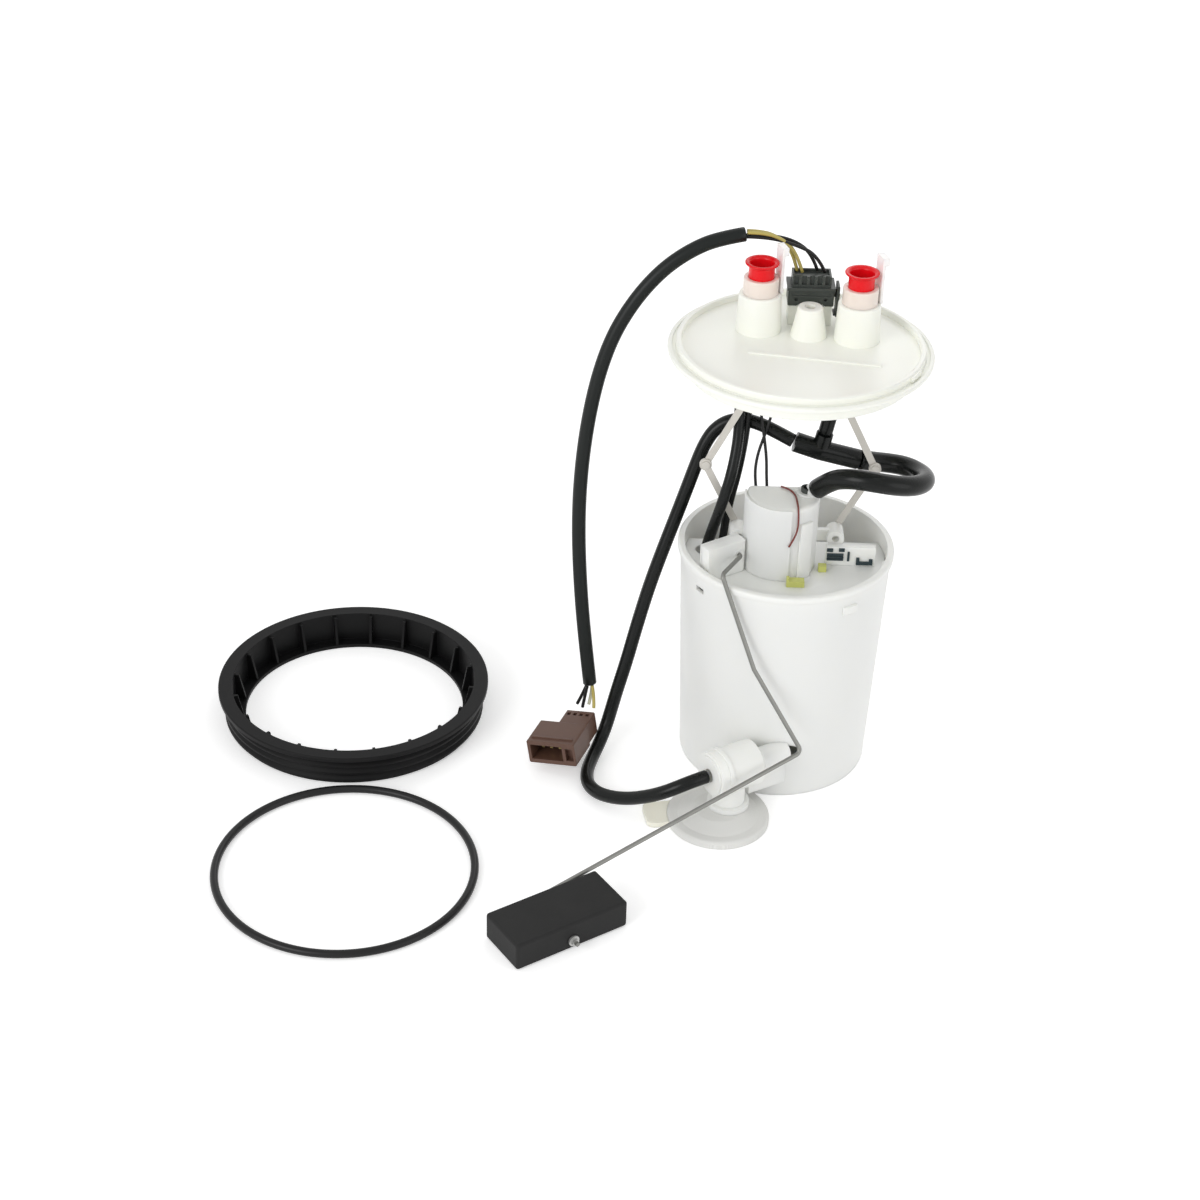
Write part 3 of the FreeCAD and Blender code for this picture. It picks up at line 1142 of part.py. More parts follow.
PIECES = [
    ("reservoir_cup", reservoir_cup),
    ("reservoir_deck", reservoir_deck),
    ("pump_holder", pump_holder),
    ("holder_cover", holder_cover),
    ("pump_housing", pump_housing),
    ("inlet_cover", inlet_cover),
    ("outlet_cover", outlet_cover),
    ("outlet_spout", outlet_spout),
    ("check_valve", check_valve),
    ("magnets", magnets),
    ("armature", armature),
    ("windings", windings),
    ("commutator", commutator),
    ("motor_shaft", motor_shaft),
    ("impeller", impeller),
    ("brushes", brushes),
    ("inlet_strainer", inlet_strainer),
    ("jet_pump_body", jet_pump_body),
    ("jet_nozzle", jet_nozzle),
    ("foot_filter", foot_filter),
    ("filter_tab", filter_tab),
    ("sender_body", sender_body),
    ("sender_cover", sender_cover),
    ("resistor_card", resistor_card),
    ("wiper", wiper),
    ("float_arm", float_arm),
    ("float", float_block),
    ("push_nut", push_nut),
    ("contacts", contacts),
    ("terminal_box", terminal_box),
    ("terminal_strips", terminal_strips),
    ("hose_tee", hose_tee),
    ("tee_riser", tee_riser),
    ("suction_hose", lambda: cord("suction hose", SUCTION_ROUTE, SUCTION_D)),
    ("loop_hose", lambda: cord("loop hose", LOOP_ROUTE, LOOP_D)),
    ("return_tube", lambda: cord("return tube", RETURN_ROUTE, TUBE_D)),
    ("vent_tube", lambda: cord("vent tube", VENT_ROUTE, VENT_D)),
    ("pump_leads", lambda: wire_group("pump lead", LEAD_ROUTES, LEAD_D)),
    ("flange", flange),
    ("port_collar_left", lambda: port_collar(PORT_L)),
    ("port_collar_right", lambda: port_collar(PORT_R)),
    ("latch_fingers", lambda: Part.makeCompound([latch_finger(PORT_L), latch_finger(PORT_R)])),
    ("port_cap_left", lambda: port_cap(PORT_L)),
    ("port_cap_right", lambda: port_cap(PORT_R)),
    ("plug_socket", plug_socket),
    ("socket_pins", socket_pins),
    ("grey_plug", grey_plug),
    ("plug_latch", plug_latch),
    ("top_wires", lambda: wire_group("top wire", TOP_WIRE_ROUTES, WIRE_D)),
    ("harness_sleeve", lambda: cord("harness", HARNESS_ROUTE, SLEEVE_D)),
    ("low_wires", lambda: wire_group("low wire", LOW_WIRE_ROUTES, WIRE_D)),
    ("brown_plug", lambda: placed_brown(brown_plug())),
    ("brown_terminals", lambda: placed_brown(brown_terminals())),
    ("red_wire", red_wire),
    ("lower_arm_left", lambda: lower_arm(-1)),
    ("lower_arm_right", lambda: lower_arm(1)),
    ("upper_arm_left", lambda: upper_arm(-1)),
    ("upper_arm_right", lambda: upper_arm(1)),
    ("lock_ring", lock_ring),
    ("seal_ring", seal_ring),
]


main()
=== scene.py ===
"""Looks of an in-tank fuel pump module with its lock ring and seal ring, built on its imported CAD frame.

Lengths are in metres, with +Z up along the module.
"""

import json
import math

import bmesh
import bpy
from mathutils import Matrix, Vector


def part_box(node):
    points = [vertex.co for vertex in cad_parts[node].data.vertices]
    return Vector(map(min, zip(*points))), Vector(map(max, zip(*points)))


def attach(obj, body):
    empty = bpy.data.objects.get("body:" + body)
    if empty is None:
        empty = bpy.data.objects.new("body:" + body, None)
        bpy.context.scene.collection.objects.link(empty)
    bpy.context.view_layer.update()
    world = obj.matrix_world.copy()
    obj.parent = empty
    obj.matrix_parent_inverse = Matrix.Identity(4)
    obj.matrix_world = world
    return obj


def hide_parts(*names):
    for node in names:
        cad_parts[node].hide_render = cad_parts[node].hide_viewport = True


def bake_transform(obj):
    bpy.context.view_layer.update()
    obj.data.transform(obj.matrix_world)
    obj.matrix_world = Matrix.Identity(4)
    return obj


MM = 0.001

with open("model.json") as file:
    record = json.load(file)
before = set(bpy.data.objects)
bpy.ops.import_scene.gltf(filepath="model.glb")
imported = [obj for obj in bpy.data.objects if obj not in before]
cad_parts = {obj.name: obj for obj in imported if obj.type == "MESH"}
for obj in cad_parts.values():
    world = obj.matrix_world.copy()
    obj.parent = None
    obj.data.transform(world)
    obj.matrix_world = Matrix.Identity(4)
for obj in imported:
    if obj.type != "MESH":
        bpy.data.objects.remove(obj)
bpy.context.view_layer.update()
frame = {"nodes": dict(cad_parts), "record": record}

# Camera, fitted to the round outlines in the photograph
CAMERA_AT = Vector((-0.0966, -1.0467, 0.75764))
CAMERA_PITCH = 32.59
CAMERA_ROLL = 1.54
CAMERA_LENS = 69.92

# Diameters of the hoses and wires
SUCTION_D = 7.2 * MM
LOOP_D = 10.4 * MM
RISER_D = 7.6 * MM
RETURN_D = 5.8 * MM
VENT_D = 4.4 * MM
LEAD_D = 1.6 * MM
SLEEVE_D = 7.4 * MM
WIRE_D = 1.8 * MM
RED_WIRE_D = 1.0 * MM

# The riser runs from the tee behind the tower up to the flange
TEE_C = (15.5, 16.0, 174.3)
RISER_TOP = (26.5, 15.5, 234.0)
RISER_START = 10.0 * MM
RISER_STEPS = 16

# Low heights given for the return tube, the vent tube and the leads
RETURN_LOW_Z, VENT_LOW_Z, LEAD_LOW_Z = 0.120, 0.111, 0.1519

# Radius of the part of a shipping cap that sits in its port
CAP_TUBE_R = 6.5 * MM

# Routes of the hoses and wires in millimetres, from one end to the other
SUCTION_ROUTE = [
    (1.5, 16.9, 178.6), (-11.4, 20.8, 184.2), (-23.0, 23.7, 187.1), (-32.2, 24.8, 185.6),
    (-39.4, 24.4, 180.4), (-44.2, 23.2, 172.2), (-47.8, 21.6, 162.2), (-52.2, 19.0, 148.6),
    (-57.6, 16.0, 132.2), (-63.6, 12.0, 115.0), (-70.4, 8.0, 93.7), (-76.4, 4.0, 70.6),
    (-81.2, 0.0, 50.4), (-85.8, -3.0, 33.6), (-88.8, -5.0, 21.4), (-91.6, -9.0, 11.8),
    (-95.2, -17.0, 6.0), (-98.9, -27.6, 3.8), (-101.4, -39.4, 3.7), (-100.6, -50.2, 3.8),
    (-95.4, -59.4, 5.0), (-87.4, -66.2, 7.4), (-78.6, -71.6, 11.0), (-69.8, -76.6, 16.4),
    (-61.2, -80.4, 22.2), (-53.0, -81.5, 27.3), (-45.7, -79.8, 30.0), (-38.8, -75.7, 30.0)]
LOOP_ROUTE = [
    (36.5, 19.0, 167.6), (44.0, 21.4, 165.4), (52.5, 22.0, 164.4), (60.6, 18.4, 165.0),
    (66.4, 10.9, 166.0), (69.0, 1.0, 168.2), (67.6, -9.4, 171.0), (62.0, -18.2, 173.8),
    (54.2, -24.0, 176.6), (45.2, -26.4, 179.0), (36.0, -25.8, 180.2), (27.0, -21.8, 179.0),
    (19.2, -15.2, 174.2), (13.0, -8.0, 164.6)]
RETURN_ROUTE = [
    (-23.5, 16.5, 234.0), (-27.0, 14.8, 217.0), (-27.6, 14.8, 201.0), (-27.4, 10.0, 183.5),
    (-30.4, 2.6, 166.0), (-35.0, -0.6, 149.0), (-38.8, 1.0, 134.0), (-41.6, 4.0, 120.0)]
VENT_ROUTE = [
    (-17.0, 18.0, 234.0), (-20.8, 18.4, 217.0), (-22.8, 17.6, 200.0), (-23.8, 16.4, 180.0),
    (-26.4, 15.0, 160.5), (-29.8, 15.4, 143.0), (-31.8, 17.0, 126.0), (-32.6, 18.5, 111.0)]
LEAD_ROUTES = [
    [(-2.0, 24.0, 236.0), (-5.4, 22.8, 222.0), (-8.2, 20.8, 208.0), (-10.2, 18.4, 195.0),
     (-13.6, 14.6, 184.0), (-17.4, 11.2, 172.5), (-18.2, 8.0, 161.5), (-16.4, 5.4, 151.9)],
    [(-8.0, 24.0, 236.0), (-13.6, 21.8, 222.0), (-16.8, 19.2, 208.0), (-16.4, 16.4, 194.5),
     (-14.2, 12.8, 183.0), (-12.4, 9.8, 172.0), (-12.0, 7.0, 161.5), (-11.0, 4.8, 151.9)]]
HARNESS_ROUTE = [
    (-29.0, 30.0, 287.8), (-43.0, 28.2, 285.6), (-55.6, 26.0, 280.3), (-67.2, 24.0, 272.4),
    (-77.0, 22.0, 262.5), (-85.8, 20.0, 250.4), (-93.8, 18.0, 235.4), (-99.8, 16.0, 217.2),
    (-104.2, 14.0, 196.2), (-107.3, 11.6, 172.6), (-108.9, 9.0, 147.5), (-108.8, 6.0, 121.8),
    (-107.0, 3.0, 92.0), (-104.2, -0.2, 63.5), (-100.9, -3.6, 37.0)]
TOP_WIRE_ROUTES = [
    [(-28.3, 31.4, 289.0), (-19.4, 31.9, 288.8), (-10.8, 32.4, 284.6), (-4.4, 32.6, 277.0),
     (-1.9, 32.4, 267.6)],
    [(-28.3, 28.8, 289.1), (-19.6, 29.2, 289.1), (-10.2, 30.0, 285.6), (-2.8, 30.6, 278.0),
     (0.7, 30.8, 267.6)],
    [(-28.6, 31.4, 286.7), (-17.5, 32.4, 286.8), (-4.5, 33.2, 283.8), (4.9, 33.6, 276.9),
     (8.4, 33.6, 267.6)],
    [(-28.6, 28.9, 286.8), (-17.5, 29.6, 286.6), (-3.6, 30.4, 282.6), (7.6, 31.0, 277.0),
     (12.2, 31.2, 267.6)]]
LOW_WIRE_ROUTES = [
    [(-102.3, -2.3, 36.0), (-104.2, -1.6, 29.5), (-107.6, -2.6, 22.4)],
    [(-102.3, -5.1, 36.0), (-103.4, -5.2, 29.8), (-104.6, -6.6, 23.0)],
    [(-99.6, -2.3, 36.4), (-99.7, -1.6, 30.2), (-101.2, -4.6, 23.6)],
    [(-99.6, -5.1, 36.4), (-98.4, -5.4, 30.4), (-98.4, -8.6, 24.0)]]
RED_ROUTE = [
    (-4.8, -0.9, 161.6), (-0.6, -3.2, 161.6), (2.3, -9.6, 161.6), (2.7, -18.0, 161.8),
    (2.9, -24.9, 161.8), (3.5, -24.5, 152.0), (2.2, -25.4, 146.0), (-0.8, -26.4, 140.5)]


def make_camera():
    data = bpy.data.cameras.new("Camera")
    data.sensor_width = 36
    data.lens = CAMERA_LENS
    data.clip_start, data.clip_end = 0.01, 20
    camera = bpy.data.objects.new("Camera", data)
    bpy.context.scene.collection.objects.link(camera)
    tilt = Matrix.Rotation(math.radians(90 - CAMERA_PITCH), 3, "X")
    roll = Matrix.Rotation(math.radians(CAMERA_ROLL), 3, "Z")
    camera.location = CAMERA_AT
    camera.rotation_euler = (tilt @ roll).to_euler()
    bpy.context.scene.camera = camera


make_camera()


# Node helpers for the materials


def new_material(name):
    material = bpy.data.materials.new(name)
    material.use_nodes = True
    return material, material.node_tree, material.node_tree.nodes["Principled BSDF"]


def add_node(tree, kind, **inputs):
    node = tree.nodes.new(kind)
    for key, value in inputs.items():
        node.inputs[key.replace("_", " ")].default_value = value
    return node


def noise(tree, scale, detail=3.0, roughness=0.55):
    """Noise over the object's own coordinates, with scale in features per metre."""
    place = tree.nodes.new("ShaderNodeTexCoord")
    texture = add_node(tree, "ShaderNodeTexNoise", Scale=scale, Detail=detail, Roughness=roughness)
    tree.links.new(place.outputs["Object"], texture.inputs["Vector"])
    return texture.outputs["Fac"]


def between(tree, factor, low, high):
    """Map a 0 to 1 factor onto the range low to high."""
    span = add_node(tree, "ShaderNodeMapRange")
    span.inputs["To Min"].default_value = low
    span.inputs["To Max"].default_value = high
    tree.links.new(factor, span.inputs["Value"])
    return span.outputs["Result"]


def mix_colour(tree, factor, first, second):
    mix = tree.nodes.new("ShaderNodeMix")
    mix.data_type = "RGBA"
    for socket, value in ((mix.inputs[6], first), (mix.inputs[7], second)):
        if hasattr(value, "is_linked"):
            tree.links.new(value, socket)
        else:
            socket.default_value = (*value, 1)
    tree.links.new(factor, mix.inputs[0])
    return mix.outputs[2]


def shade(colour, factor):
    return tuple(min(1.0, c * factor) for c in colour)


def surface(name, colour, rough, spread=0.06, grain=900.0, bump=0.02, metal=0.0, blotch=25.0,
            rough_spread=0.06, edge=0.0, shine=0.5):
    """Base material: mottled colour, uneven gloss, fine grain and, with edge, softened corners."""
    material, tree, bsdf = new_material(name)
    colours = mix_colour(tree, noise(tree, blotch, 4), shade(colour, 1 - spread), shade(colour, 1 + spread))
    tree.links.new(colours, bsdf.inputs["Base Color"])
    gloss = between(tree, noise(tree, blotch * 3, 5), rough - rough_spread, rough + rough_spread)
    tree.links.new(gloss, bsdf.inputs["Roughness"])
    bsdf.inputs["Metallic"].default_value = metal
    bsdf.inputs["Specular IOR Level"].default_value = shine
    relief = add_node(tree, "ShaderNodeBump", Strength=bump, Distance=0.0004)
    tree.links.new(noise(tree, grain, 3), relief.inputs["Height"])
    if edge:
        corner = tree.nodes.new("ShaderNodeBevel")
        corner.samples = 4
        corner.inputs["Radius"].default_value = edge
        tree.links.new(corner.outputs["Normal"], relief.inputs["Normal"])
    tree.links.new(relief.outputs["Normal"], bsdf.inputs["Normal"])
    return material


def milky(name, colour, rough, depth, weight=0.35, edge=0.0005, **more):
    """Thin white plastic that lets some light through."""
    material = surface(name, colour, rough, spread=0.015, edge=edge, **more)
    bsdf = material.node_tree.nodes["Principled BSDF"]
    bsdf.inputs["Subsurface Weight"].default_value = weight
    bsdf.inputs["Subsurface Radius"].default_value = (1.0, 0.95, 0.85)
    bsdf.inputs["Subsurface Scale"].default_value = depth
    return material


def woven(name, colour, rough, pitch):
    """Fine square mesh of filter cloth."""
    material, tree, bsdf = new_material(name)
    place = tree.nodes.new("ShaderNodeTexCoord")
    waves = []
    for direction in ("X", "Y"):
        wave = add_node(tree, "ShaderNodeTexWave", Scale=1 / pitch)
        wave.bands_direction = direction
        tree.links.new(place.outputs["Object"], wave.inputs["Vector"])
        waves.append(wave.outputs["Fac"])
    both = tree.nodes.new("ShaderNodeMath")
    both.operation = "MULTIPLY"
    tree.links.new(waves[0], both.inputs[0])
    tree.links.new(waves[1], both.inputs[1])
    colours = mix_colour(tree, both.outputs[0], shade(colour, 0.82), colour)
    tree.links.new(colours, bsdf.inputs["Base Color"])
    tree.links.new(between(tree, noise(tree, 60), rough - 0.05, rough + 0.05), bsdf.inputs["Roughness"])
    relief = add_node(tree, "ShaderNodeBump", Strength=0.35, Distance=0.0004)
    tree.links.new(both.outputs[0], relief.inputs["Height"])
    tree.links.new(relief.outputs["Normal"], bsdf.inputs["Normal"])
    return material


def drawn_steel(name, colour, rough):
    """Steel with a fine uneven drawn skin."""
    return surface(name, colour, rough, spread=0.14, grain=2200, bump=0.05, metal=0.75, blotch=60)


MATERIALS = {
    "cup_white": milky("cup_white", (0.86, 0.865, 0.835), 0.36, 0.006, 0.4, grain=500),
    "flange_cream": milky("flange_cream", (0.93, 0.94, 0.865), 0.34, 0.004, 0.3, grain=700),
    "collar_pink": milky("collar_pink", (0.86, 0.75, 0.68), 0.30, 0.004, 0.4),
    "finger_clear": milky("finger_clear", (0.92, 0.90, 0.89), 0.25, 0.004, 0.5),
    "red_plastic": surface("red_plastic", (0.78, 0.004, 0.010), 0.30, grain=400, edge=0.0003, shine=0.3),
    "grey_plastic": surface("grey_plastic", (0.050, 0.058, 0.052), 0.42, edge=0.0003, shine=0.4),
    "brown_plastic": surface("brown_plastic", (0.105, 0.052, 0.035), 0.40, edge=0.0004, shine=0.35),
    "hose_black": surface("hose_black", (0.0045, 0.0055, 0.0050), 0.26, spread=0.2, grain=1500, shine=0.22),
    "sleeve_black": surface("sleeve_black", (0.0045, 0.0065, 0.0058), 0.40, spread=0.2, grain=1100,
                            bump=0.05, shine=0.25),
    "seal_black": surface("seal_black", (0.0045, 0.0045, 0.0050), 0.36, spread=0.2, grain=1500, shine=0.3),
    "lock_black": surface("lock_black", (0.0050, 0.0050, 0.0052), 0.46, spread=0.2, grain=1300,
                          bump=0.06, edge=0.0005, shine=0.15),
    "float_black": surface("float_black", (0.016, 0.016, 0.016), 0.66, spread=0.15, grain=1700,
                           bump=0.12, edge=0.0008, shine=0.25),
    "steel_wire": drawn_steel("steel_wire", (0.24, 0.24, 0.225), 0.40),
    "strap_beige": surface("strap_beige", (0.60, 0.575, 0.53), 0.40, edge=0.0003),
    "steel": drawn_steel("steel", (0.50, 0.50, 0.49), 0.30),
    "iron": drawn_steel("iron", (0.16, 0.16, 0.17), 0.5),
    "magnet": surface("magnet", (0.04, 0.04, 0.042), 0.6),
    "copper": surface("copper", (0.60, 0.24, 0.12), 0.35, metal=0.9),
    "brass": surface("brass", (0.62, 0.50, 0.22), 0.32, metal=0.9),
    "carbon": surface("carbon", (0.03, 0.03, 0.03), 0.6),
    "filter_white": woven("filter_white", (0.88, 0.88, 0.85), 0.6, 0.0008),
    "tab_yellow": milky("tab_yellow", (0.88, 0.86, 0.74), 0.4, 0.003),
    "contact_yellow": surface("contact_yellow", (0.55, 0.57, 0.16), 0.4, edge=0.0003),
    "card_blue": surface("card_blue", (0.022, 0.040, 0.048), 0.34, edge=0.0002, shine=0.4),
    "wire_yellow": surface("wire_yellow", (0.46, 0.38, 0.10), 0.40),
    "wire_pale": surface("wire_pale", (0.66, 0.66, 0.50), 0.40),
    "wire_black": surface("wire_black", (0.008, 0.008, 0.008), 0.36, shine=0.3),
    "wire_red": surface("wire_red", (0.17, 0.030, 0.022), 0.40),
}


# Mesh helpers


def link_mesh(name, mesh, slot_name, smooth=True):
    piece = bpy.data.objects.new(name, mesh)
    bpy.context.scene.collection.objects.link(piece)
    mesh.materials.append(MATERIALS[slot_name])
    if smooth:
        mesh.polygons.foreach_set("use_smooth", [True] * len(mesh.polygons))
    return piece


def route_path(route):
    """Points along the smooth curve that the route's points pull into shape."""
    curve = bpy.data.curves.new("route", "CURVE")
    curve.dimensions = "3D"
    curve.resolution_u = 8
    spline = curve.splines.new("NURBS")
    spline.points.add(len(route) - 1)
    for point, place in zip(spline.points, route):
        point.co = (*(c * MM for c in place), 1)
    spline.order_u = 3
    spline.use_endpoint_u = True
    holder = bpy.data.objects.new("route", curve)
    bpy.context.scene.collection.objects.link(holder)
    bpy.context.view_layer.update()
    mesh = bpy.data.meshes.new_from_object(holder)
    path = [v.co.copy() for v in mesh.vertices]
    bpy.data.meshes.remove(mesh)
    bpy.data.objects.remove(holder)
    bpy.data.curves.remove(curve)
    return path


def frames_along(path):
    """Direction and two side axes at each point, carried along without twist."""
    steps = [(b - a).normalized() for a, b in zip(path, path[1:])]
    along = [steps[0]] + [(a + b).normalized() for a, b in zip(steps, steps[1:])] + [steps[-1]]
    side = along[0].orthogonal().normalized()
    out = []
    for direction in along:
        side = (side - direction * side.dot(direction)).normalized()
        out.append((direction, side, direction.cross(side)))
    return out


def sweep(name, path, radius, slot_name, sides=20, cut=0.12):
    """Tube along the path. Its ends are cut square with a softened edge, cut times the radius wide."""
    axes = frames_along(path)
    rings = []
    soft = radius * cut
    rings.append((path[0], axes[0], radius - soft))
    rings.append((path[0] + axes[0][0] * soft, axes[0], radius))
    rings += [(p, a, radius) for p, a in zip(path[1:-1], axes[1:-1])
              if (p - path[0]).length > soft * 2 and (p - path[-1]).length > soft * 2]
    rings.append((path[-1] - axes[-1][0] * soft, axes[-1], radius))
    rings.append((path[-1], axes[-1], radius - soft))
    verts, faces = [], []
    for centre, (_, u, w), r in rings:
        for k in range(sides):
            angle = 2 * math.pi * k / sides
            verts.append(centre + (u * math.cos(angle) + w * math.sin(angle)) * r)
    for i in range(len(rings) - 1):
        for k in range(sides):
            a, b = i * sides + k, i * sides + (k + 1) % sides
            faces.append((a, b, b + sides, a + sides))
    faces.append(tuple(range(sides))[::-1])
    faces.append(tuple((len(rings) - 1) * sides + k for k in range(sides)))
    mesh = bpy.data.meshes.new(name)
    mesh.from_pydata(verts, [], faces)
    mesh.update()
    return link_mesh(name, mesh, slot_name)


def lathe(name, profile, base, axis, slot_name, steps=64):
    """Turn a closed profile of (radius, height) points round the axis through base."""
    axis = Vector(axis).normalized()
    u = axis.orthogonal().normalized()
    w = axis.cross(u)
    verts, faces = [], []
    for k in range(steps):
        angle = 2 * math.pi * k / steps
        out = u * math.cos(angle) + w * math.sin(angle)
        verts += [base + out * r + axis * h for r, h in profile]
    count = len(profile)
    for k in range(steps):
        for i in range(count):
            j = (i + 1) % count
            a, b = k * count, (k + 1) % steps * count
            faces.append((a + i, b + i, b + j, a + j))
    mesh = bpy.data.meshes.new(name)
    mesh.from_pydata(verts, [], faces)
    work = bmesh.new()
    work.from_mesh(mesh)
    bmesh.ops.remove_doubles(work, verts=work.verts, dist=1e-6)
    bmesh.ops.recalc_face_normals(work, faces=work.faces)
    work.to_mesh(mesh)
    work.free()
    return link_mesh(name, mesh, slot_name)


def joined(pieces, name):
    """Join several mesh pieces into one, which keeps the materials of all."""
    bpy.ops.object.select_all(action="DESELECT")
    for piece in pieces:
        piece.select_set(True)
    bpy.context.view_layer.objects.active = pieces[0]
    bpy.ops.object.join()
    pieces[0].name = name
    return pieces[0]


# Cords: the harness with its wires, and the suction hose

def make_harness():
    path = route_path(HARNESS_ROUTE)
    sleeve = sweep("harness_tube", path, SLEEVE_D / 2, "sleeve_black", sides=24)
    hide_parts("harness_sleeve")
    slots = ("wire_yellow", "wire_yellow", "wire_black", "wire_black")
    top = [sweep("top_wire_%d" % k, route_path(r), WIRE_D / 2, s, sides=12)
           for k, (r, s) in enumerate(zip(TOP_WIRE_ROUTES, slots))]
    top = joined(top, "top_wire_set")
    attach(top, "flange")
    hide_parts("top_wires")
    slots = ("wire_black", "wire_black", "wire_pale", "wire_yellow")
    low = [sweep("low_wire_%d" % k, route_path(r), WIRE_D / 2, s, sides=12)
           for k, (r, s) in enumerate(zip(LOW_WIRE_ROUTES, slots))]
    low = joined(low, "low_wire_set")
    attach(low, "module")
    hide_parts("low_wires")
    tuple(path[-1])
    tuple(path[0])
    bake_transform(sleeve)
    length = sum((b - a).length for a, b in zip(path, path[1:]))
    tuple(path[0])


def make_suction_hose():
    path = route_path(SUCTION_ROUTE)
    hose = sweep("suction_tube", path, SUCTION_D / 2, "hose_black", sides=28)
    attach(hose, "module")
    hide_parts("suction_hose")
    length = sum((b - a).length for a, b in zip(path, path[1:]))
    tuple(path[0])


make_harness()
make_suction_hose()


# Hoses and tubes that stay between their two fittings


def make_tubes():
    loop = sweep("loop_tube", route_path(LOOP_ROUTE), LOOP_D / 2, "hose_black", sides=32)
    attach(loop, "module")
    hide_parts("loop_hose")
    red = sweep("red_lead", route_path(RED_ROUTE), RED_WIRE_D / 2, "wire_red", sides=10)
    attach(red, "module")
    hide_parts("red_wire")
    for name, route, diameter, node, low in (
            ("return_pipe", RETURN_ROUTE, RETURN_D, "return_tube", RETURN_LOW_Z),
            ("vent_pipe", VENT_ROUTE, VENT_D, "vent_tube", VENT_LOW_Z)):
        pipe = sweep(name, route_path(route), diameter / 2, "hose_black")
        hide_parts(node)
        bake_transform(pipe)
    leads = [sweep("lead_%d" % k, route_path(r), LEAD_D / 2, "wire_black", sides=10)
             for k, r in enumerate(LEAD_ROUTES)]
    leads = joined(leads, "lead_pair")
    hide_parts("pump_leads")
    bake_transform(leads)


make_tubes()


def make_riser():
    """Short hose from the tee up to the flange."""
    tee, top = Vector(TEE_C) * MM, Vector(RISER_TOP) * MM
    start = tee + (top - tee).normalized() * RISER_START
    path = [start.lerp(top, k / RISER_STEPS) for k in range(RISER_STEPS + 1)]
    riser = sweep("riser_tube", path, RISER_D / 2, "hose_black", sides=24)
    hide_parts("tee_riser")
    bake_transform(riser)


make_riser()


# Shipping caps of the two ports, turned with smooth lips


def arc(centre, radius, start, end, steps=8):
    """Points of an arc in the plane of a profile, from start to end degrees."""
    turns = [math.radians(start + (end - start) * k / steps) for k in range(steps + 1)]
    return [(centre[0] + radius * math.cos(t), centre[1] + radius * math.sin(t)) for t in turns]


def cap_profile(tube, lip, height):
    """Closed outline of a thin cup with a flared rolled lip, as (radius, height) points."""
    wall, floor, roll, bend = 1.2 * MM, 1.4 * MM, 0.5 * MM, 1.9 * MM
    outer = [(0.0, 0.0)] + arc((tube - 0.6 * MM, 0.6 * MM), 0.6 * MM, -90, 0)
    outer += arc((tube + bend, height - 2 * roll - bend), bend, 180, 90)
    rim = arc((lip - roll, height - roll), roll, -90, 90)
    inner = arc((tube - wall + bend + roll, height - bend), bend, 90, 180)
    return outer + rim + inner + [(tube - wall, floor), (0.0, floor)]


def make_caps():
    for side in ("left", "right"):
        node = "port_cap_" + side
        low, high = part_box(node)
        lip = (high.x - low.x) / 2
        base = Vector(((low.x + high.x) / 2, (low.y + high.y) / 2, low.z))
        cap = lathe("cap_" + side, cap_profile(CAP_TUBE_R, lip, high.z - low.z), base, (0, 0, 1),
                    "red_plastic", steps=72)
        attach(cap, "cap_" + side)
        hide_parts(node)


make_caps()


# CAD nodes take their slot's material


OTHER_LOOK = {"latch_fingers": "finger_clear"}


def dress_nodes():
    slots = {s["node"]: s["material_slot"] for s in frame["record"]["subparts"]}
    for name, node in frame["nodes"].items():
        node.data.materials.clear()
        node.data.materials.append(MATERIALS[OTHER_LOOK.get(name, slots[name])])


dress_nodes()


# Floor, light and background

FLOOR_Z = -0.0002
FLOOR_REACH = 6.0
FLOOR_GLOW = 0.34
WORLD_STRENGTH = 0.70

# Name, place, target, size and power of each lamp
LAMPS = (
    ("key", (-1.25, -1.25, 0.85), (-0.08, 0, 0.12), 1.1, 12.5),
    ("fill", (1.2, -0.9, 0.5), (0, 0, 0.12), 1.2, 4),
    ("back", (0.3, 1.1, 1.0), (0, 0, 0.15), 0.8, 2))


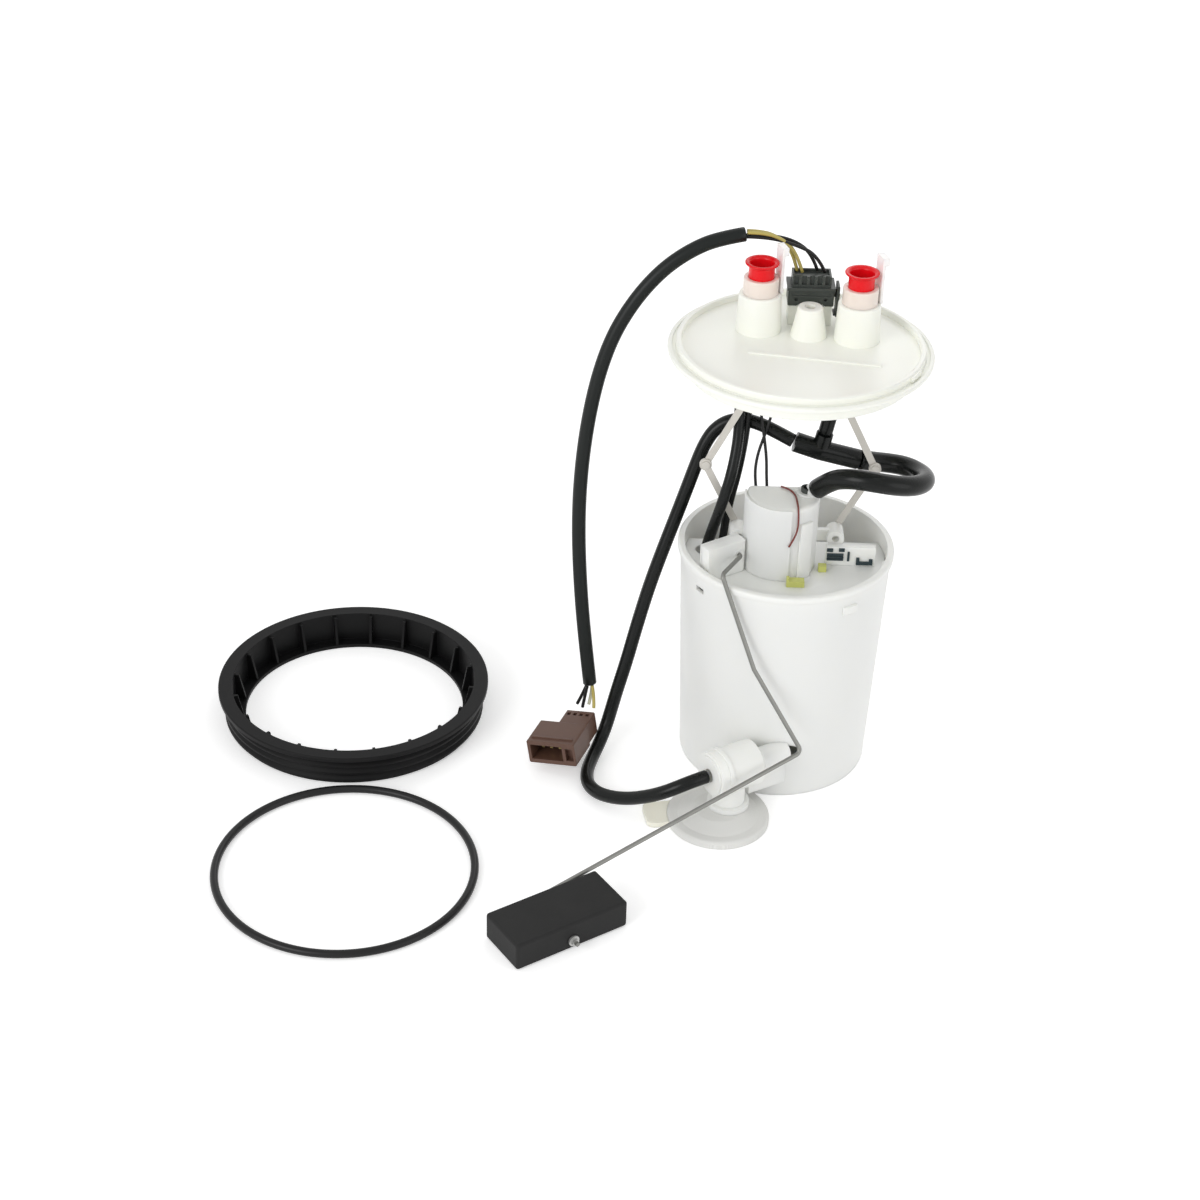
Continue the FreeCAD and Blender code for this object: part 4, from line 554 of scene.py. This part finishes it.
def seen_directly(tree):
    """1 for the camera's own rays and for those that come by a mirror or through glass."""
    rays = tree.nodes.new("ShaderNodeLightPath")
    total = rays.outputs["Is Camera Ray"]
    for kind in ("Is Glossy Ray", "Is Transmission Ray"):
        both = tree.nodes.new("ShaderNodeMath")
        both.operation = "MAXIMUM"
        tree.links.new(total, both.inputs[0])
        tree.links.new(rays.outputs[kind], both.inputs[1])
        total = both.outputs[0]
    return total


def make_stage():
    mesh = bpy.data.meshes.new("floor")
    corners = ((-1, -1), (1, -1), (1, 1), (-1, 1))
    mesh.from_pydata([(x * FLOOR_REACH, y * FLOOR_REACH, FLOOR_Z) for x, y in corners], [],
                     [(0, 1, 2, 3)])
    floor = bpy.data.objects.new("floor", mesh)
    bpy.context.scene.collection.objects.link(floor)
    material, tree, bsdf = new_material("floor_white")
    bsdf.inputs["Base Color"].default_value = (0.93, 0.93, 0.93, 1)
    bsdf.inputs["Roughness"].default_value = 0.7
    bsdf.inputs["Specular IOR Level"].default_value = 0.2
    bsdf.inputs["Emission Color"].default_value = (1, 1, 1, 1)
    glow = between(tree, seen_directly(tree), 0.0, FLOOR_GLOW)
    tree.links.new(glow, bsdf.inputs["Emission Strength"])
    mesh.materials.append(material)


def area_light(name, place, target, size, power):
    data = bpy.data.lights.new(name, "AREA")
    data.shape = "DISK"
    data.size = size
    data.energy = power
    light = bpy.data.objects.new(name, data)
    bpy.context.scene.collection.objects.link(light)
    light.location = place
    light.rotation_euler = (Vector(target) - Vector(place)).to_track_quat("-Z", "Y").to_euler()


def make_world(strength):
    world = bpy.data.worlds.new("World")
    bpy.context.scene.world = world
    world.use_nodes = True
    tree = world.node_tree
    background = tree.nodes["Background"]
    background.inputs["Color"].default_value = (1, 1, 1, 1)
    tree.links.new(between(tree, seen_directly(tree), strength, 1.0), background.inputs["Strength"])


make_stage()
for lamp in LAMPS:
    area_light(*lamp)
make_world(WORLD_STRENGTH)

scene = bpy.context.scene
scene.view_settings.view_transform = "Standard"
